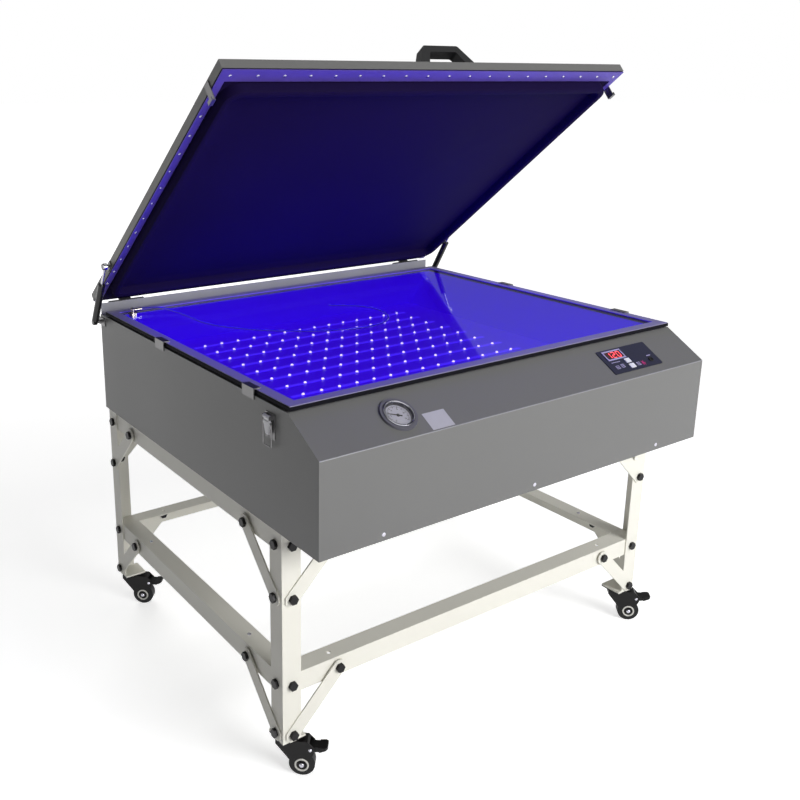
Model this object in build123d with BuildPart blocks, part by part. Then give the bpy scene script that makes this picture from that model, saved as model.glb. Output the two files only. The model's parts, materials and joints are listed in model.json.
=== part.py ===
"""Screen printing exposure unit: a glass-topped ultraviolet light table with a vacuum lid, on a castor stand.

Frame: +X to the operator's right, +Y to the rear (the front faces -Y), +Z up. The origin is on the floor,
under the middle of the outline, and x = 0 is the unit's centre plane. All sizes are in millimetres.
"""
from build123d import *
from math import atan2, cos, degrees, hypot, radians, sin, sqrt, tan
import os

os.makedirs("parts", exist_ok=True)

# ------------------------------------------------------------------ driving dimensions
# Cabinet
cabinet_width = 1000.0
cabinet_depth = 905.0
cabinet_height = 230.0
front_height = 176.0
slope_depth = 92.0
sheet = 1.5
inset = 0.1

# Stand
leg_height = 428.0
stand_setback = 114.0
stand_rear_setback = 19.0
stand_depth = cabinet_depth - stand_setback - stand_rear_setback
angle_size = 40.0
angle_wall = 3.0
lower_rail_top = 140.0
rail_gap = 0.5
foot_size = 50.0
foot_plate = 4.0
strap_width = 30.0
strap_thickness = 3.0
strap_corner = 9.0
strap_pitch = 104.0
bolt_inset = 21.0
upper_bolt_height = 402.0
lower_bolt_height = 120.0
bolt_flats = 16.0
bolt_head = 6.5
nut_height = 5.0
shelf_hole = 9.0
shelf_hole_inset = 118.0

# Castors
castor_height = 82.0
wheel_diameter = 50.0
wheel_width = 20.0
axle_diameter = 8.0
castor_trail = 29.0
castor_plate = 2.5
raceway_height = 3.5
raceway_diameter = 34.0
kingpin_diameter = 10.0
fork_cheek = 2.5
fork_gap = 0.4
pedal_reach = 78.0
castor_heading = -41.0
running_clearance = 0.05
side_clearance = 1.0

# Exposure table
seal_height = 3.0
seal_width = 20.0
glass_thickness = 6.0
glass_bearing = 12.0
glass_clearance = 0.5
frame_lip = 22.0
frame_lip_thickness = 2.0
frame_side_margin = 4.0
frame_front = 91.0
frame_rear_margin = 27.0
frame_depth = cabinet_depth - frame_front - frame_rear_margin
liner_floor_margin = 95.0
liner_floor_width = cabinet_width - 2 * liner_floor_margin
liner_top_margin = 30.0
liner_top_width = cabinet_width - 2 * liner_top_margin
liner_floor_front = 109.0
liner_rear_margin = 45.0
liner_floor_rear = cabinet_depth - liner_rear_margin
liner_wall = 1.0
lamp_board_drop = 87.0
lamp_board_thickness = 1.5
lamp_strip_width = 10.0
lamp_strip_thickness = 0.8
lamp_strip_length = 640.0
lamp_strips = 11
lamp_strip_pitch = 60.3
last_strip_margin = 125.0
last_strip_y = cabinet_depth - last_strip_margin
chips_per_strip = 14
chip_pitch = 45.0
chip_size = 5.0
chip_height = 1.4
clip_positions = (218.0, 580.0)
clip_width = 40.0
clip_drop = 18.0
clip_arm = 14.5
clip_thickness = 2.0

# Lid
open_angle = 38.5
pin_behind = 10.0
pin_above = 22.0
lid_overhang = 7.0
lid_width = cabinet_width + 2 * lid_overhang
lid_front_setback = 87.0
lid_front_reach = cabinet_depth + pin_behind - lid_front_setback
lid_rear_reach = 6.0
lid_underside = 12.0
lid_thickness = 18.0
lid_flange_side = 18.0
lid_flange_front = 30.0
blanket_thickness = 2.0
blanket_margin = 1.0
blanket_rear_margin = 3.0
bead_width = 18.0
bead_side_inset = 20.0
bead_outer_width = lid_width - 2 * bead_side_inset
bead_front_inset = 35.0
bead_front_reach = lid_front_reach - bead_front_inset
bead_rear_reach = 40.0
bead_radius = 34.0
bead_clearance = 0.3
clamp_bar = 1.5
clamp_side_width = 15.0
handle_span = 141.0
handle_bar = 88.0
handle_height = 42.0
handle_depth = 22.0
handle_thickness = 15.0
handle_foot = 24.0
handle_inset = 14.0
handle_reach = lid_front_reach - handle_inset

# Hinges
hinge_width = 88.0
hinge_from_side = 70.0
hinge_centre = cabinet_width / 2 - hinge_from_side
hinge_leaf = 2.0
hinge_pin_diameter = 5.0
hinge_knuckle = 9.0
hinge_leaf_drop = 50.0

# Gas struts
strut_out = 17.5
strut_plane = cabinet_width / 2 + strut_out
strut_box_back = 7.0
strut_box_drop = 15.0
strut_lid_reach = 145.0
strut_lid_height = 22.0
strut_cylinder_diameter = 16.0
strut_cylinder_length = 107.0
strut_rod_diameter = 6.0
strut_neck = 6.0
strut_eye_width = 7.0
strut_eye_wall = 3.4
strut_box_stud = 8.0
strut_lid_stud = 6.0
strut_lid_play = 2.2

# Draw latches
latch_centre = 145.0
latch_plate_width = 30.0
latch_plate_height = 46.0
latch_plate_drop = 15.0
latch_pivot_drop = 21.0
latch_pivot_out = 7.0
latch_pin_diameter = 3.2
latch_lever_length = 31.0
latch_lever_width = 20.0
latch_loop_length = 42.5
latch_loop_width = 29.0
latch_wire = 2.5
catch_width = 16.0

# Front of the cabinet: x, and the distance up the slope
gauge_x = -305.0
gauge_up = 51.0
gauge_flange_diameter = 72.0
gauge_dial_diameter = 48.0
gauge_barrel_diameter = 60.0
gauge_barrel_depth = 28.0
gauge_flange = 4.0
gauge_recess = 6.0
gauge_lens = 1.6
panel_x = 309.0
panel_up = 50.5
panel_width = 150.0
panel_height = 64.0
panel_plate = 1.6
panel_box_depth = 20.0
panel_margin = 4.0
display_x = 274.0
display_up = 66.0
display_width = 52.0
display_height = 22.0
display_depth = 1.0
key_x = 296.5
key_ups = (45.0, 30.0)
key_width = 15.0
key_length = 11.0
key_proud = 1.4
key_travel = 1.2
key_clearance = 0.3

# Vacuum hose on the glass: x, and the distance behind the cabinet's front face
nozzle_inset = 20.0
nozzle_x = nozzle_inset - liner_top_width / 2
nozzle_rear_margin = 73.0
nozzle_back = cabinet_depth - nozzle_rear_margin
nozzle_post = 10.0
nozzle_rise = 9.0
nozzle_barb = 22.0
hose_diameter = 4.0
hose_lift = 0.2
hose_sides = 6

# ------------------------------------------------------------------ places worked out from them
lid_sine = sin(radians(open_angle))
lid_cosine = cos(radians(open_angle))
lid_top = lid_underside + lid_thickness
rear_overhang = pin_behind + lid_rear_reach * lid_cosine + lid_top * lid_sine
y_front = -(cabinet_depth + rear_overhang) / 2
y_rear = y_front + cabinet_depth
z_leg = castor_height
z_box = z_leg + leg_height
z_top = z_box + cabinet_height
slope_rise = cabinet_height - front_height
slope_length = hypot(slope_depth, slope_rise)
z_glass_under = z_top + seal_height
z_glass = z_glass_under + glass_thickness
z_frame = z_glass + frame_lip_thickness
half_width = cabinet_width / 2
half_lid = lid_width / 2
pin_y = y_rear + pin_behind
pin_z = z_top + pin_above

slope_plane = Plane(
    origin=(0, y_front, z_box + front_height),
    x_dir=(1, 0, 0),
    z_dir=(0, -slope_rise, slope_depth),
)
lid_plane = Plane(origin=(0, pin_y, pin_z), x_dir=(1, 0, 0), z_dir=(0, lid_sine, lid_cosine))
corners = {
    "front_left": (-1, -1),
    "front_right": (1, -1),
    "rear_left": (-1, 1),
    "rear_right": (1, 1),
}
sides = {"left": -1, "right": 1}


def behind(distance):
    """The y of a place so far behind the cabinet's front face."""
    return y_front + distance


def save(part, name):
    """Labels a finished piece and writes it."""
    part.label = name
    export_step(part, f"parts/{name}.step")


# ------------------------------------------------------------------ stand: legs
stand_middle = behind(stand_setback + stand_depth / 2)


def corner_point(sx, sy):
    """The outer vertical edge of one leg."""
    return sx * half_width, stand_middle + sy * stand_depth / 2


for corner, (sx, sy) in corners.items():
    cx, cy = corner_point(sx, sy)
    with BuildPart() as leg:
        with BuildSketch(Plane.XY.offset(z_leg)):
            with BuildLine():
                Polyline(
                    (cx, cy),
                    (cx - sx * angle_size, cy),
                    (cx - sx * angle_size, cy - sy * angle_wall),
                    (cx - sx * angle_wall, cy - sy * angle_wall),
                    (cx - sx * angle_wall, cy - sy * angle_size),
                    (cx, cy - sy * angle_size),
                    close=True,
                )
            make_face()
        extrude(amount=leg_height)
        # The welded plate that takes the castor.
        with BuildSketch(Plane.XY.offset(z_leg)):
            with Locations((cx - sx * foot_size / 2, cy - sy * foot_size / 2)):
                Rectangle(foot_size, foot_size)
        extrude(amount=foot_plate)
    save(leg.part, f"leg_{corner}")

# ------------------------------------------------------------------ stand: rails
# Angle iron bolted inside the legs, flat flange on top. The side rails' top flanges stop short of the
# front and rear rails' flanges.
rail_half_x = half_width - angle_wall
rail_half_y = stand_depth / 2 - angle_wall


def angle_rails(z_rail, holes):
    """Four rails of one level as separate lengths of angle iron."""
    with BuildPart() as rails:
        for sy in (-1, 1):
            outer = stand_middle + sy * rail_half_y
            with BuildSketch(Plane.YZ):
                with BuildLine():
                    Polyline(
                        (outer, z_rail),
                        (outer - sy * angle_size, z_rail),
                        (outer - sy * angle_size, z_rail - angle_wall),
                        (outer - sy * angle_wall, z_rail - angle_wall),
                        (outer - sy * angle_wall, z_rail - angle_size),
                        (outer, z_rail - angle_size),
                        close=True,
                    )
                make_face()
            extrude(amount=rail_half_x, both=True)
        for sx in (-1, 1):
            outer = sx * rail_half_x
            upright = Plane.XZ.offset(-stand_middle)
            with BuildSketch(upright):
                with Locations((outer - sx * angle_wall / 2, z_rail - angle_size / 2)):
                    Rectangle(angle_wall, angle_size)
            extrude(amount=rail_half_y - angle_wall - rail_gap, both=True)
            with BuildSketch(upright):
                with Locations((outer - sx * angle_size / 2, z_rail - angle_wall / 2)):
                    Rectangle(angle_size, angle_wall)
            extrude(amount=rail_half_y - angle_size - rail_gap, both=True)
        if holes:
            row = stand_depth / 2 - angle_wall - angle_size / 2
            spots = [
                (sx * (half_width - shelf_hole_inset), stand_middle + sy * row)
                for sx, sy in corners.values()
            ]
            with Locations(*[(x, y, z_rail) for x, y in spots]):
                Hole(shelf_hole / 2, depth=2 * angle_wall)
    return rails.part


save(angle_rails(z_box, False), "upper_rails")
save(angle_rails(z_leg + lower_rail_top, True), "lower_rails")


# ------------------------------------------------------------------ stand: straps and bolts
# The outside of every leg flange, +Y up. On half of them +X runs inwards from the leg's edge, and on the
# others outwards, so the flanges go in two hands.
flanges = {1: [], -1: []}
for sx, sy in corners.values():
    cx, cy = corner_point(sx, sy)
    for across, outward, hand in (
        ((-sy, 0, 0), (0, sy, 0), sx * sy),
        ((0, sx, 0), (sx, 0, 0), -sx * sy),
    ):
        flanges[hand].append(Plane(origin=(cx, cy, z_leg), x_dir=across, z_dir=outward))
rail_bolt_inset = bolt_inset + strap_pitch
strap_levels = (upper_bolt_height, lower_bolt_height)

with BuildPart() as gusset_straps:
    for hand, faces in flanges.items():
        with BuildSketch(*faces) as strap_ends:
            with Locations(
                *[
                    (hand * (bolt_inset + strap_pitch / 2), level - strap_pitch / 2)
                    for level in strap_levels
                ]
            ):
                Rectangle(strap_pitch * sqrt(2) + strap_width, strap_width, rotation=45 * hand)
            chamfer(strap_ends.vertices(), strap_corner)
        extrude(amount=strap_thickness)
save(gusset_straps.part, "gusset_straps")

# Hexagon heads outside and nuts inside. The strap's rail end is packed out by a hexagon spacer.
with BuildPart() as frame_bolts:
    for hand, faces in flanges.items():
        rail_points = [(hand * rail_bolt_inset, level) for level in strap_levels]
        strap_points = [(hand * bolt_inset, level - strap_pitch) for level in strap_levels]
        leg_points = [(hand * bolt_inset, level) for level in strap_levels]
        stacks = (
            (strap_points + rail_points, strap_thickness, bolt_head),
            (leg_points, 0, bolt_head),
            (strap_points, -angle_wall, -nut_height),
            (leg_points + rail_points, -2 * angle_wall, -nut_height),
            (rail_points, -angle_wall, angle_wall),
        )
        for points, height, length in stacks:
            with BuildSketch(*[face.offset(height) for face in faces]):
                with Locations(*points):
                    RegularPolygon(bolt_flats / 2, 6, major_radius=False)
            extrude(amount=length, clean=False)
save(frame_bolts.part, "frame_bolts")

# ------------------------------------------------------------------ castors
z_hub = wheel_diameter / 2
z_raceway = z_leg - castor_plate - raceway_height
z_fork = z_raceway - fork_gap
fork_plate = 4.0
kingpin_head = 16.0
kingpin_head_height = 2.0
fork_inner = wheel_width + 2 * side_clearance
fork_half = fork_inner / 2 + fork_cheek
fork_back = -21.0
fork_nose = 52.0
fork_nose_drop = 12.0
axle_boss = 9.0
axle_nut = 2.0
pedal_pivot_along = 45.0
pedal_pivot_z = 58.0
pedal_pin = 5.0
pedal_eye = 12.0
pedal_blade = 5.0
pedal_tip_width = 26.0
pedal_tip_start = 62.0


def castor_axis(sx, sy):
    """Where one castor swivels: the middle of its foot plate."""
    cx, cy = corner_point(sx, sy)
    return cx - sx * foot_size / 2, cy - sy * foot_size / 2


castor_axes = [castor_axis(sx, sy) for sx, sy in corners.values()]
with BuildPart() as castor_plates:
    with BuildSketch(Plane.XY.offset(z_leg)):
        with Locations(*castor_axes):
            Rectangle(foot_size, foot_size)
    extrude(amount=-castor_plate)
    with BuildSketch(Plane.XY.offset(z_raceway)):
        with Locations(*castor_axes):
            Circle(raceway_diameter / 2)
    extrude(amount=raceway_height)
    with BuildSketch(Plane.XY.offset(z_raceway)):
        with Locations(*castor_axes):
            Circle(kingpin_diameter / 2)
    extrude(amount=-2 * fork_gap - fork_plate)
    with BuildSketch(Plane.XY.offset(z_fork - fork_plate - fork_gap)):
        with Locations(*castor_axes):
            RegularPolygon(kingpin_head / 2, 6)
    extrude(amount=-kingpin_head_height)
save(castor_plates.part, "castor_plates")

heading_x = cos(radians(castor_heading))
heading_y = sin(radians(castor_heading))
for corner, (sx, sy) in corners.items():
    ax, ay = castor_axis(sx, sy)
    side = Plane(origin=(ax, ay, 0), x_dir=(heading_x, heading_y, 0), z_dir=(heading_y, -heading_x, 0))
    # Hooded fork with the axle through both cheeks and the brake's pin between them.
    with BuildPart() as fork:
        with BuildSketch(side) as outline:
            with BuildLine():
                Polyline(
                    (fork_back, z_fork),
                    (fork_nose - fork_nose_drop, z_fork),
                    (fork_nose, z_fork - fork_nose_drop),
                    (fork_nose, pedal_pivot_z - pedal_eye / 2),
                    (castor_trail + axle_boss, z_hub),
                    (castor_trail + axle_boss, z_hub - axle_boss),
                    (castor_trail - axle_boss, z_hub - axle_boss),
                    (fork_back, z_fork - 2 * fork_plate),
                    close=True,
                )
            make_face()
            chamfer(outline.vertices().sort_by(Axis.Y)[:2], axle_boss * 0.5)
        extrude(amount=fork_half, both=True)
        with BuildSketch(side):
            with Locations(((fork_back + fork_nose) / 2 + fork_plate, (z_fork - fork_plate) / 2)):
                Rectangle(fork_nose - fork_back + fork_plate, z_fork - fork_plate)
        extrude(amount=fork_inner / 2, both=True, mode=Mode.SUBTRACT)
        with BuildSketch(side):
            with Locations((castor_trail, z_hub)):
                Circle(axle_diameter / 2)
        extrude(amount=fork_half, both=True)
        with BuildSketch(side.offset(fork_half), side.offset(-fork_half - axle_nut)):
            with Locations((castor_trail, z_hub)):
                RegularPolygon(axle_diameter * 0.85, 6)
        extrude(amount=axle_nut)
        with BuildSketch(side):
            with Locations((pedal_pivot_along, pedal_pivot_z)):
                Circle(pedal_pin / 2)
        extrude(amount=fork_half, both=True)
        with BuildSketch(Plane.XY.offset(z_fork)):
            with Locations((ax, ay)):
                Circle(kingpin_diameter / 2 + running_clearance)
        extrude(amount=-2 * fork_plate, mode=Mode.SUBTRACT)
    save(fork.part, f"castor_fork_{corner}")

    # Wheel on the axle.
    with BuildPart() as wheel:
        with BuildSketch(side):
            with Locations((castor_trail, z_hub)):
                Circle(wheel_diameter / 2)
                Circle(axle_diameter / 2 + running_clearance, mode=Mode.SUBTRACT)
        extrude(amount=wheel_width / 2, both=True)
    save(wheel.part, f"castor_wheel_{corner}")

    # Brake pedal: an eye on the fork's pin, and a blade that widens outside the fork.
    with BuildPart() as pedal:
        with BuildSketch(side):
            with BuildLine():
                Polyline(
                    (pedal_pivot_along, pedal_pivot_z + pedal_eye / 2),
                    (pedal_tip_start, pedal_pivot_z + pedal_eye / 2),
                    (pedal_reach, pedal_pivot_z + pedal_eye / 2 + 2),
                    (pedal_reach, pedal_pivot_z + pedal_eye / 2 + 2 - pedal_blade),
                    (pedal_tip_start, pedal_pivot_z - pedal_eye / 2 + 2),
                    (pedal_pivot_along, pedal_pivot_z - pedal_eye / 2),
                    close=True,
                )
            make_face()
            with Locations((pedal_pivot_along, pedal_pivot_z)):
                Circle(pedal_eye / 2)
                Circle(pedal_pin / 2 + running_clearance, mode=Mode.SUBTRACT)
        extrude(amount=fork_inner / 2 - side_clearance / 2, both=True)
        with BuildSketch(side):
            with BuildLine():
                Polyline(
                    (pedal_tip_start, pedal_pivot_z + pedal_eye / 2),
                    (pedal_reach, pedal_pivot_z + pedal_eye / 2 + 2),
                    (pedal_reach, pedal_pivot_z + pedal_eye / 2 + 2 - pedal_blade),
                    (pedal_tip_start, pedal_pivot_z - pedal_eye / 2 + 2),
                    close=True,
                )
            make_face()
        extrude(amount=pedal_tip_width / 2, both=True)
        tips = pedal.edges().filter_by(lambda e: abs(e.length - pedal_blade) < 0.01)
        chamfer(tips, 4)
    save(pedal.part, f"castor_pedal_{corner}")

# ------------------------------------------------------------------ cabinet shell
with BuildPart() as cabinet_shell:
    with BuildSketch(Plane.YZ):
        with BuildLine():
            Polyline(
                (y_front, z_box),
                (y_front, z_box + front_height),
                (behind(slope_depth), z_top),
                (y_rear, z_top),
                (y_rear, z_box),
                close=True,
            )
        make_face()
    extrude(amount=half_width, both=True)
    underside = cabinet_shell.faces().sort_by(Axis.Z)[0]
    back = cabinet_shell.faces().sort_by(Axis.Y)[-1]
    offset(amount=-sheet, openings=[underside, back])
    # Light opening in the deck, and the cut-outs in the slope.
    with BuildSketch(Plane.XY.offset(z_top)):
        with Locations((0, behind(frame_front + frame_depth / 2))):
            Rectangle(liner_top_width, frame_depth - 2 * frame_lip + 2)
    extrude(amount=-2 * sheet, mode=Mode.SUBTRACT)
    with BuildSketch(slope_plane):
        with Locations((gauge_x, gauge_up)):
            Circle(gauge_barrel_diameter / 2 + glass_clearance)
        with Locations((panel_x, panel_up)):
            Rectangle(panel_width - 2 * panel_margin + 1, panel_height - 2 * panel_margin + 1)
    extrude(amount=-2 * sheet, mode=Mode.SUBTRACT)
save(cabinet_shell.part, "cabinet_shell")

# ------------------------------------------------------------------ rear panel with vents and mains inlet
vent_slots = 6
vent_pitch = 12.0
vent_length = 90.0
vent_width = 4.0
vent_x = 300.0
vent_z = z_box + 130.0
inlet_x = 380.0
inlet_z = z_box + 45.0
inlet_width = 48.0
inlet_height = 28.0
inlet_depth = 24.0
with BuildPart() as rear_panel:
    panel_base = z_box + sheet
    panel_top = z_top - sheet
    rear_plane = Plane.XZ.offset(-y_rear)
    with BuildSketch(rear_plane):
        with Locations((0, (panel_base + panel_top) / 2)):
            Rectangle(cabinet_width - 2 * sheet, panel_top - panel_base)
        for sx in (-1, 1):
            with Locations((sx * vent_x, vent_z)):
                with GridLocations(1, vent_pitch, 1, vent_slots):
                    Rectangle(vent_length, vent_width, mode=Mode.SUBTRACT)
        with Locations((inlet_x, inlet_z)):
            Rectangle(inlet_width - 4, inlet_height - 4, mode=Mode.SUBTRACT)
    extrude(amount=sheet)
    # Mains inlet: flange outside, shrouded cavity inside.
    with BuildSketch(rear_plane):
        with Locations((inlet_x, inlet_z)):
            Rectangle(inlet_width, inlet_height)
    extrude(amount=-2)
    with BuildSketch(rear_plane):
        with Locations((inlet_x, inlet_z)):
            Rectangle(inlet_width - 4, inlet_height - 4)
    extrude(amount=inlet_depth)
    with BuildSketch(rear_plane.offset(-2)):
        with Locations((inlet_x, inlet_z)):
            Rectangle(inlet_width - 18, inlet_height - 10)
    extrude(amount=inlet_depth, mode=Mode.SUBTRACT)
save(rear_panel.part, "rear_panel")

# ------------------------------------------------------------------ base panel with the lamp board's posts
z_board = z_top - lamp_board_drop
z_board_under = z_board - lamp_board_thickness
post_size = 20.0
post_inset = 25.0
post_x = liner_floor_width / 2 - post_inset
post_front = 150.0
post_rear_margin = 85.0
post_rear = cabinet_depth - post_rear_margin
with BuildPart() as base_panel:
    with BuildSketch(Plane.XY.offset(z_box)):
        with Locations((0, behind(cabinet_depth / 2))):
            Rectangle(cabinet_width - 2 * sheet, cabinet_depth - 2 * sheet)
    extrude(amount=sheet)
    with BuildSketch(Plane.XY.offset(z_box)):
        with Locations(
            *[(sx * post_x, behind(y)) for sx in (-1, 1) for y in (post_front, post_rear)]
        ):
            Rectangle(post_size, post_size)
    extrude(amount=z_board_under - z_box)
save(base_panel.part, "base_panel")

# ------------------------------------------------------------------ exposure table
frame_width = cabinet_width - 2 * frame_side_margin
frame_middle = behind(frame_front + frame_depth / 2)
opening_width = frame_width - 2 * frame_lip
opening_depth = frame_depth - 2 * frame_lip
glass_width = opening_width + 2 * glass_bearing
glass_depth = opening_depth + 2 * glass_bearing
nozzle_y = behind(nozzle_back)

with BuildPart() as frame_seal:
    with BuildSketch(Plane.XY.offset(z_top)):
        with Locations((0, frame_middle)):
            Rectangle(frame_width - 8, frame_depth - 8)
            Rectangle(
                frame_width - 8 - 2 * seal_width, frame_depth - 8 - 2 * seal_width, mode=Mode.SUBTRACT
            )
    extrude(amount=seal_height)
save(frame_seal.part, "frame_seal")

with BuildPart() as glass:
    with BuildSketch(Plane.XY.offset(z_glass_under)):
        with Locations((0, frame_middle)):
            Rectangle(glass_width, glass_depth)
        with Locations((nozzle_x, nozzle_y)):
            Circle(nozzle_post / 2 + running_clearance, mode=Mode.SUBTRACT)
    extrude(amount=glass_thickness)
save(glass.part, "glass")

with BuildPart() as glass_frame:
    with BuildSketch(Plane.XY.offset(z_glass_under)):
        with Locations((0, frame_middle)):
            Rectangle(frame_width, frame_depth)
            Rectangle(opening_width, opening_depth, mode=Mode.SUBTRACT)
    extrude(amount=z_frame - z_glass_under)
    # Rebate that holds the glass down by its edge.
    with BuildSketch(Plane.XY.offset(z_glass_under)):
        with Locations((0, frame_middle)):
            Rectangle(glass_width + 2 * glass_clearance, glass_depth + 2 * glass_clearance)
    extrude(amount=glass_thickness, mode=Mode.SUBTRACT)
save(glass_frame.part, "glass_frame")

with BuildPart() as glass_clips:
    for sx in (-1, 1):
        outer = sx * (half_width + clip_thickness)
        with BuildSketch(*[Plane.XZ.offset(-behind(distance)) for distance in clip_positions]):
            with BuildLine():
                Polyline(
                    (sx * half_width, z_frame - clip_drop),
                    (outer, z_frame - clip_drop),
                    (outer, z_frame + clip_thickness),
                    (outer - sx * clip_arm, z_frame + clip_thickness),
                    (outer - sx * clip_arm, z_frame),
                    (sx * half_width, z_frame),
                    close=True,
                )
            make_face()
        extrude(amount=clip_width / 2, both=True)
save(glass_clips.part, "glass_clips")

# Reflector walls that flare from the lamp board to the deck's opening.
liner_middle = behind((liner_floor_front + liner_floor_rear) / 2)
liner_depth = liner_floor_rear - liner_floor_front
z_liner_top = z_top - sheet
with BuildPart() as light_liner:
    for grow, mode in ((liner_wall, Mode.ADD), (0, Mode.SUBTRACT)):
        with BuildSketch(Plane.XY.offset(z_board)):
            with Locations((0, liner_middle)):
                Rectangle(liner_floor_width + 2 * grow, liner_depth + 2 * grow)
        with BuildSketch(Plane.XY.offset(z_liner_top)):
            with Locations((0, liner_middle)):
                Rectangle(liner_top_width + 2 * grow, liner_depth + 2 * grow)
        loft(ruled=True, mode=mode)
save(light_liner.part, "light_liner")

with BuildPart() as lamp_board:
    with BuildSketch(Plane.XY.offset(z_board_under)):
        with Locations((0, liner_middle)):
            Rectangle(liner_floor_width + 2 * liner_wall, liner_depth + 2 * liner_wall)
    extrude(amount=lamp_board_thickness)
save(lamp_board.part, "lamp_board")

strip_middle = behind(last_strip_y - (lamp_strips - 1) * lamp_strip_pitch / 2)
with BuildPart() as lamp_strips_part:
    with BuildSketch(Plane.XY.offset(z_board)):
        with Locations((0, strip_middle)):
            with GridLocations(1, lamp_strip_pitch, 1, lamp_strips):
                Rectangle(lamp_strip_length, lamp_strip_width)
    extrude(amount=lamp_strip_thickness)
    with BuildSketch(Plane.XY.offset(z_board + lamp_strip_thickness)):
        with Locations((0, strip_middle)):
            with GridLocations(chip_pitch, lamp_strip_pitch, chips_per_strip, lamp_strips):
                Rectangle(chip_size, chip_size)
    extrude(amount=chip_height)
save(lamp_strips_part.part, "lamp_strips")

# ------------------------------------------------------------------ vacuum pump and power supply on the base
pump_x = -300.0
pump_back = 600.0
motor_diameter = 70.0
motor_length = 130.0
pump_head = 60.0
pump_head_size = 86.0
pump_base_width = 90.0
pump_base = 4.0
pump_foot = 14.0
pump_saddle = 30.0
z_floor = z_box + sheet
z_pump = z_floor + pump_head_size / 2 + pump_foot - 2
pump_head_x = pump_x + motor_length / 2 + pump_head / 2
on_base = (Align.CENTER, Align.CENTER, Align.MIN)
with BuildPart() as vacuum_pump:
    pump_plane = Plane.YZ.offset(pump_x)
    with BuildSketch(pump_plane):
        with Locations((behind(pump_back), z_floor + pump_foot - 2 + motor_diameter / 2)):
            Circle(motor_diameter / 2)
    extrude(amount=motor_length / 2, both=True)
    with Locations((pump_head_x, behind(pump_back), z_pump)):
        Box(pump_head, pump_head_size, pump_head_size)
    with Locations((pump_x, behind(pump_back), z_floor)):
        Box(motor_length + 2 * pump_base, pump_base_width, pump_base, align=on_base)
        Box(motor_length - pump_saddle, pump_saddle, pump_foot + pump_base, align=on_base)
    with Locations((pump_head_x, behind(pump_back), z_floor)):
        Box(pump_head, pump_base_width, pump_foot, align=on_base)
save(vacuum_pump.part, "vacuum_pump")

supply_x = 230.0
supply_back = 420.0
supply_length = 215.0
supply_width = 115.0
supply_height = 50.0
supply_notch = 30.0
supply_notch_width = 100.0
with BuildPart() as power_supply:
    with Locations((supply_x, behind(supply_back), z_floor)):
        Box(supply_length, supply_width, supply_height, align=on_base)
    # Step for the row of screw terminals.
    with Locations((supply_x - supply_length / 2, behind(supply_back), z_floor + supply_height)):
        Box(
            supply_notch,
            supply_notch_width,
            supply_notch,
            align=(Align.MIN, Align.CENTER, Align.MAX),
            mode=Mode.SUBTRACT,
        )
save(power_supply.part, "power_supply")

# ------------------------------------------------------------------ vacuum gauge on the slope
flange_radius = gauge_flange_diameter / 2
dial_radius = gauge_dial_diameter / 2
barrel_radius = gauge_barrel_diameter / 2
lens_seat = 2.0
lens_rebate = 1.5
needle_post = 1.2
needle_gap = 0.6
needle_thickness = 0.8
z_dial = gauge_flange - gauge_recess
gauge_centre = slope_plane.from_local_coords((gauge_x, gauge_up, 0))
gauge_plane = Plane(origin=gauge_centre, x_dir=(1, 0, 0), z_dir=slope_plane.z_dir)
gauge_section = Plane(origin=gauge_centre, x_dir=gauge_plane.x_dir, z_dir=-gauge_plane.y_dir)
with BuildPart() as gauge_case:
    with BuildSketch(gauge_section):
        with BuildLine():
            Polyline(
                (0, -gauge_barrel_depth),
                (barrel_radius, -gauge_barrel_depth),
                (barrel_radius, 0),
                (flange_radius, 0),
                (flange_radius - 1, gauge_flange),
                (dial_radius + lens_rebate, gauge_flange),
                (dial_radius + lens_rebate, gauge_flange - lens_seat),
                (dial_radius, gauge_flange - lens_seat),
                (dial_radius, z_dial),
                (needle_post, z_dial),
                (needle_post, z_dial + needle_gap + needle_thickness + 0.6),
                (0, z_dial + needle_gap + needle_thickness + 0.6),
                close=True,
            )
        make_face()
    revolve(axis=Axis(gauge_centre, gauge_plane.z_dir))
save(gauge_case.part, "gauge_case")

with BuildPart() as gauge_lens_part:
    with BuildSketch(gauge_plane.offset(gauge_flange - lens_seat)):
        Circle(dial_radius + lens_rebate - running_clearance)
    extrude(amount=gauge_lens)
save(gauge_lens_part.part, "gauge_lens")

needle_angle = 155.0
needle_length = 20.0
needle_tail = 8.0
needle_width = 2.4
with BuildPart() as gauge_needle:
    with BuildSketch(gauge_plane.offset(z_dial + needle_gap)):
        Circle(3)
        with Locations(Rotation(0, 0, needle_angle)):
            Polygon(
                (-needle_tail, needle_width / 2),
                (-needle_tail, -needle_width / 2),
                (needle_length, -needle_width / 6),
                (needle_length, needle_width / 6),
                align=None,
            )
        Circle(needle_post + running_clearance, mode=Mode.SUBTRACT)
    extrude(amount=needle_thickness)
save(gauge_needle.part, "gauge_needle")

# ------------------------------------------------------------------ control panel, display and keys
pocket_depth = 6.0
key_rest = 3.0
with BuildPart() as control_panel:
    with BuildSketch(slope_plane):
        with Locations((panel_x, panel_up)):
            RectangleRounded(panel_width, panel_height, 3)
    extrude(amount=panel_plate)
    with BuildSketch(slope_plane):
        with Locations((panel_x, panel_up)):
            Rectangle(panel_width - 2 * panel_margin, panel_height - 2 * panel_margin)
    extrude(amount=-panel_box_depth)
    with BuildSketch(slope_plane.offset(panel_plate)):
        with Locations((display_x, display_up)):
            Rectangle(display_width, display_height)
    extrude(amount=-display_depth, mode=Mode.SUBTRACT)
    with BuildSketch(slope_plane.offset(panel_plate)):
        with Locations(*[(key_x, up) for up in key_ups]):
            Rectangle(key_width + 2 * key_clearance, key_length + 2 * key_clearance)
    extrude(amount=-pocket_depth, mode=Mode.SUBTRACT)
save(control_panel.part, "control_panel")

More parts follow.
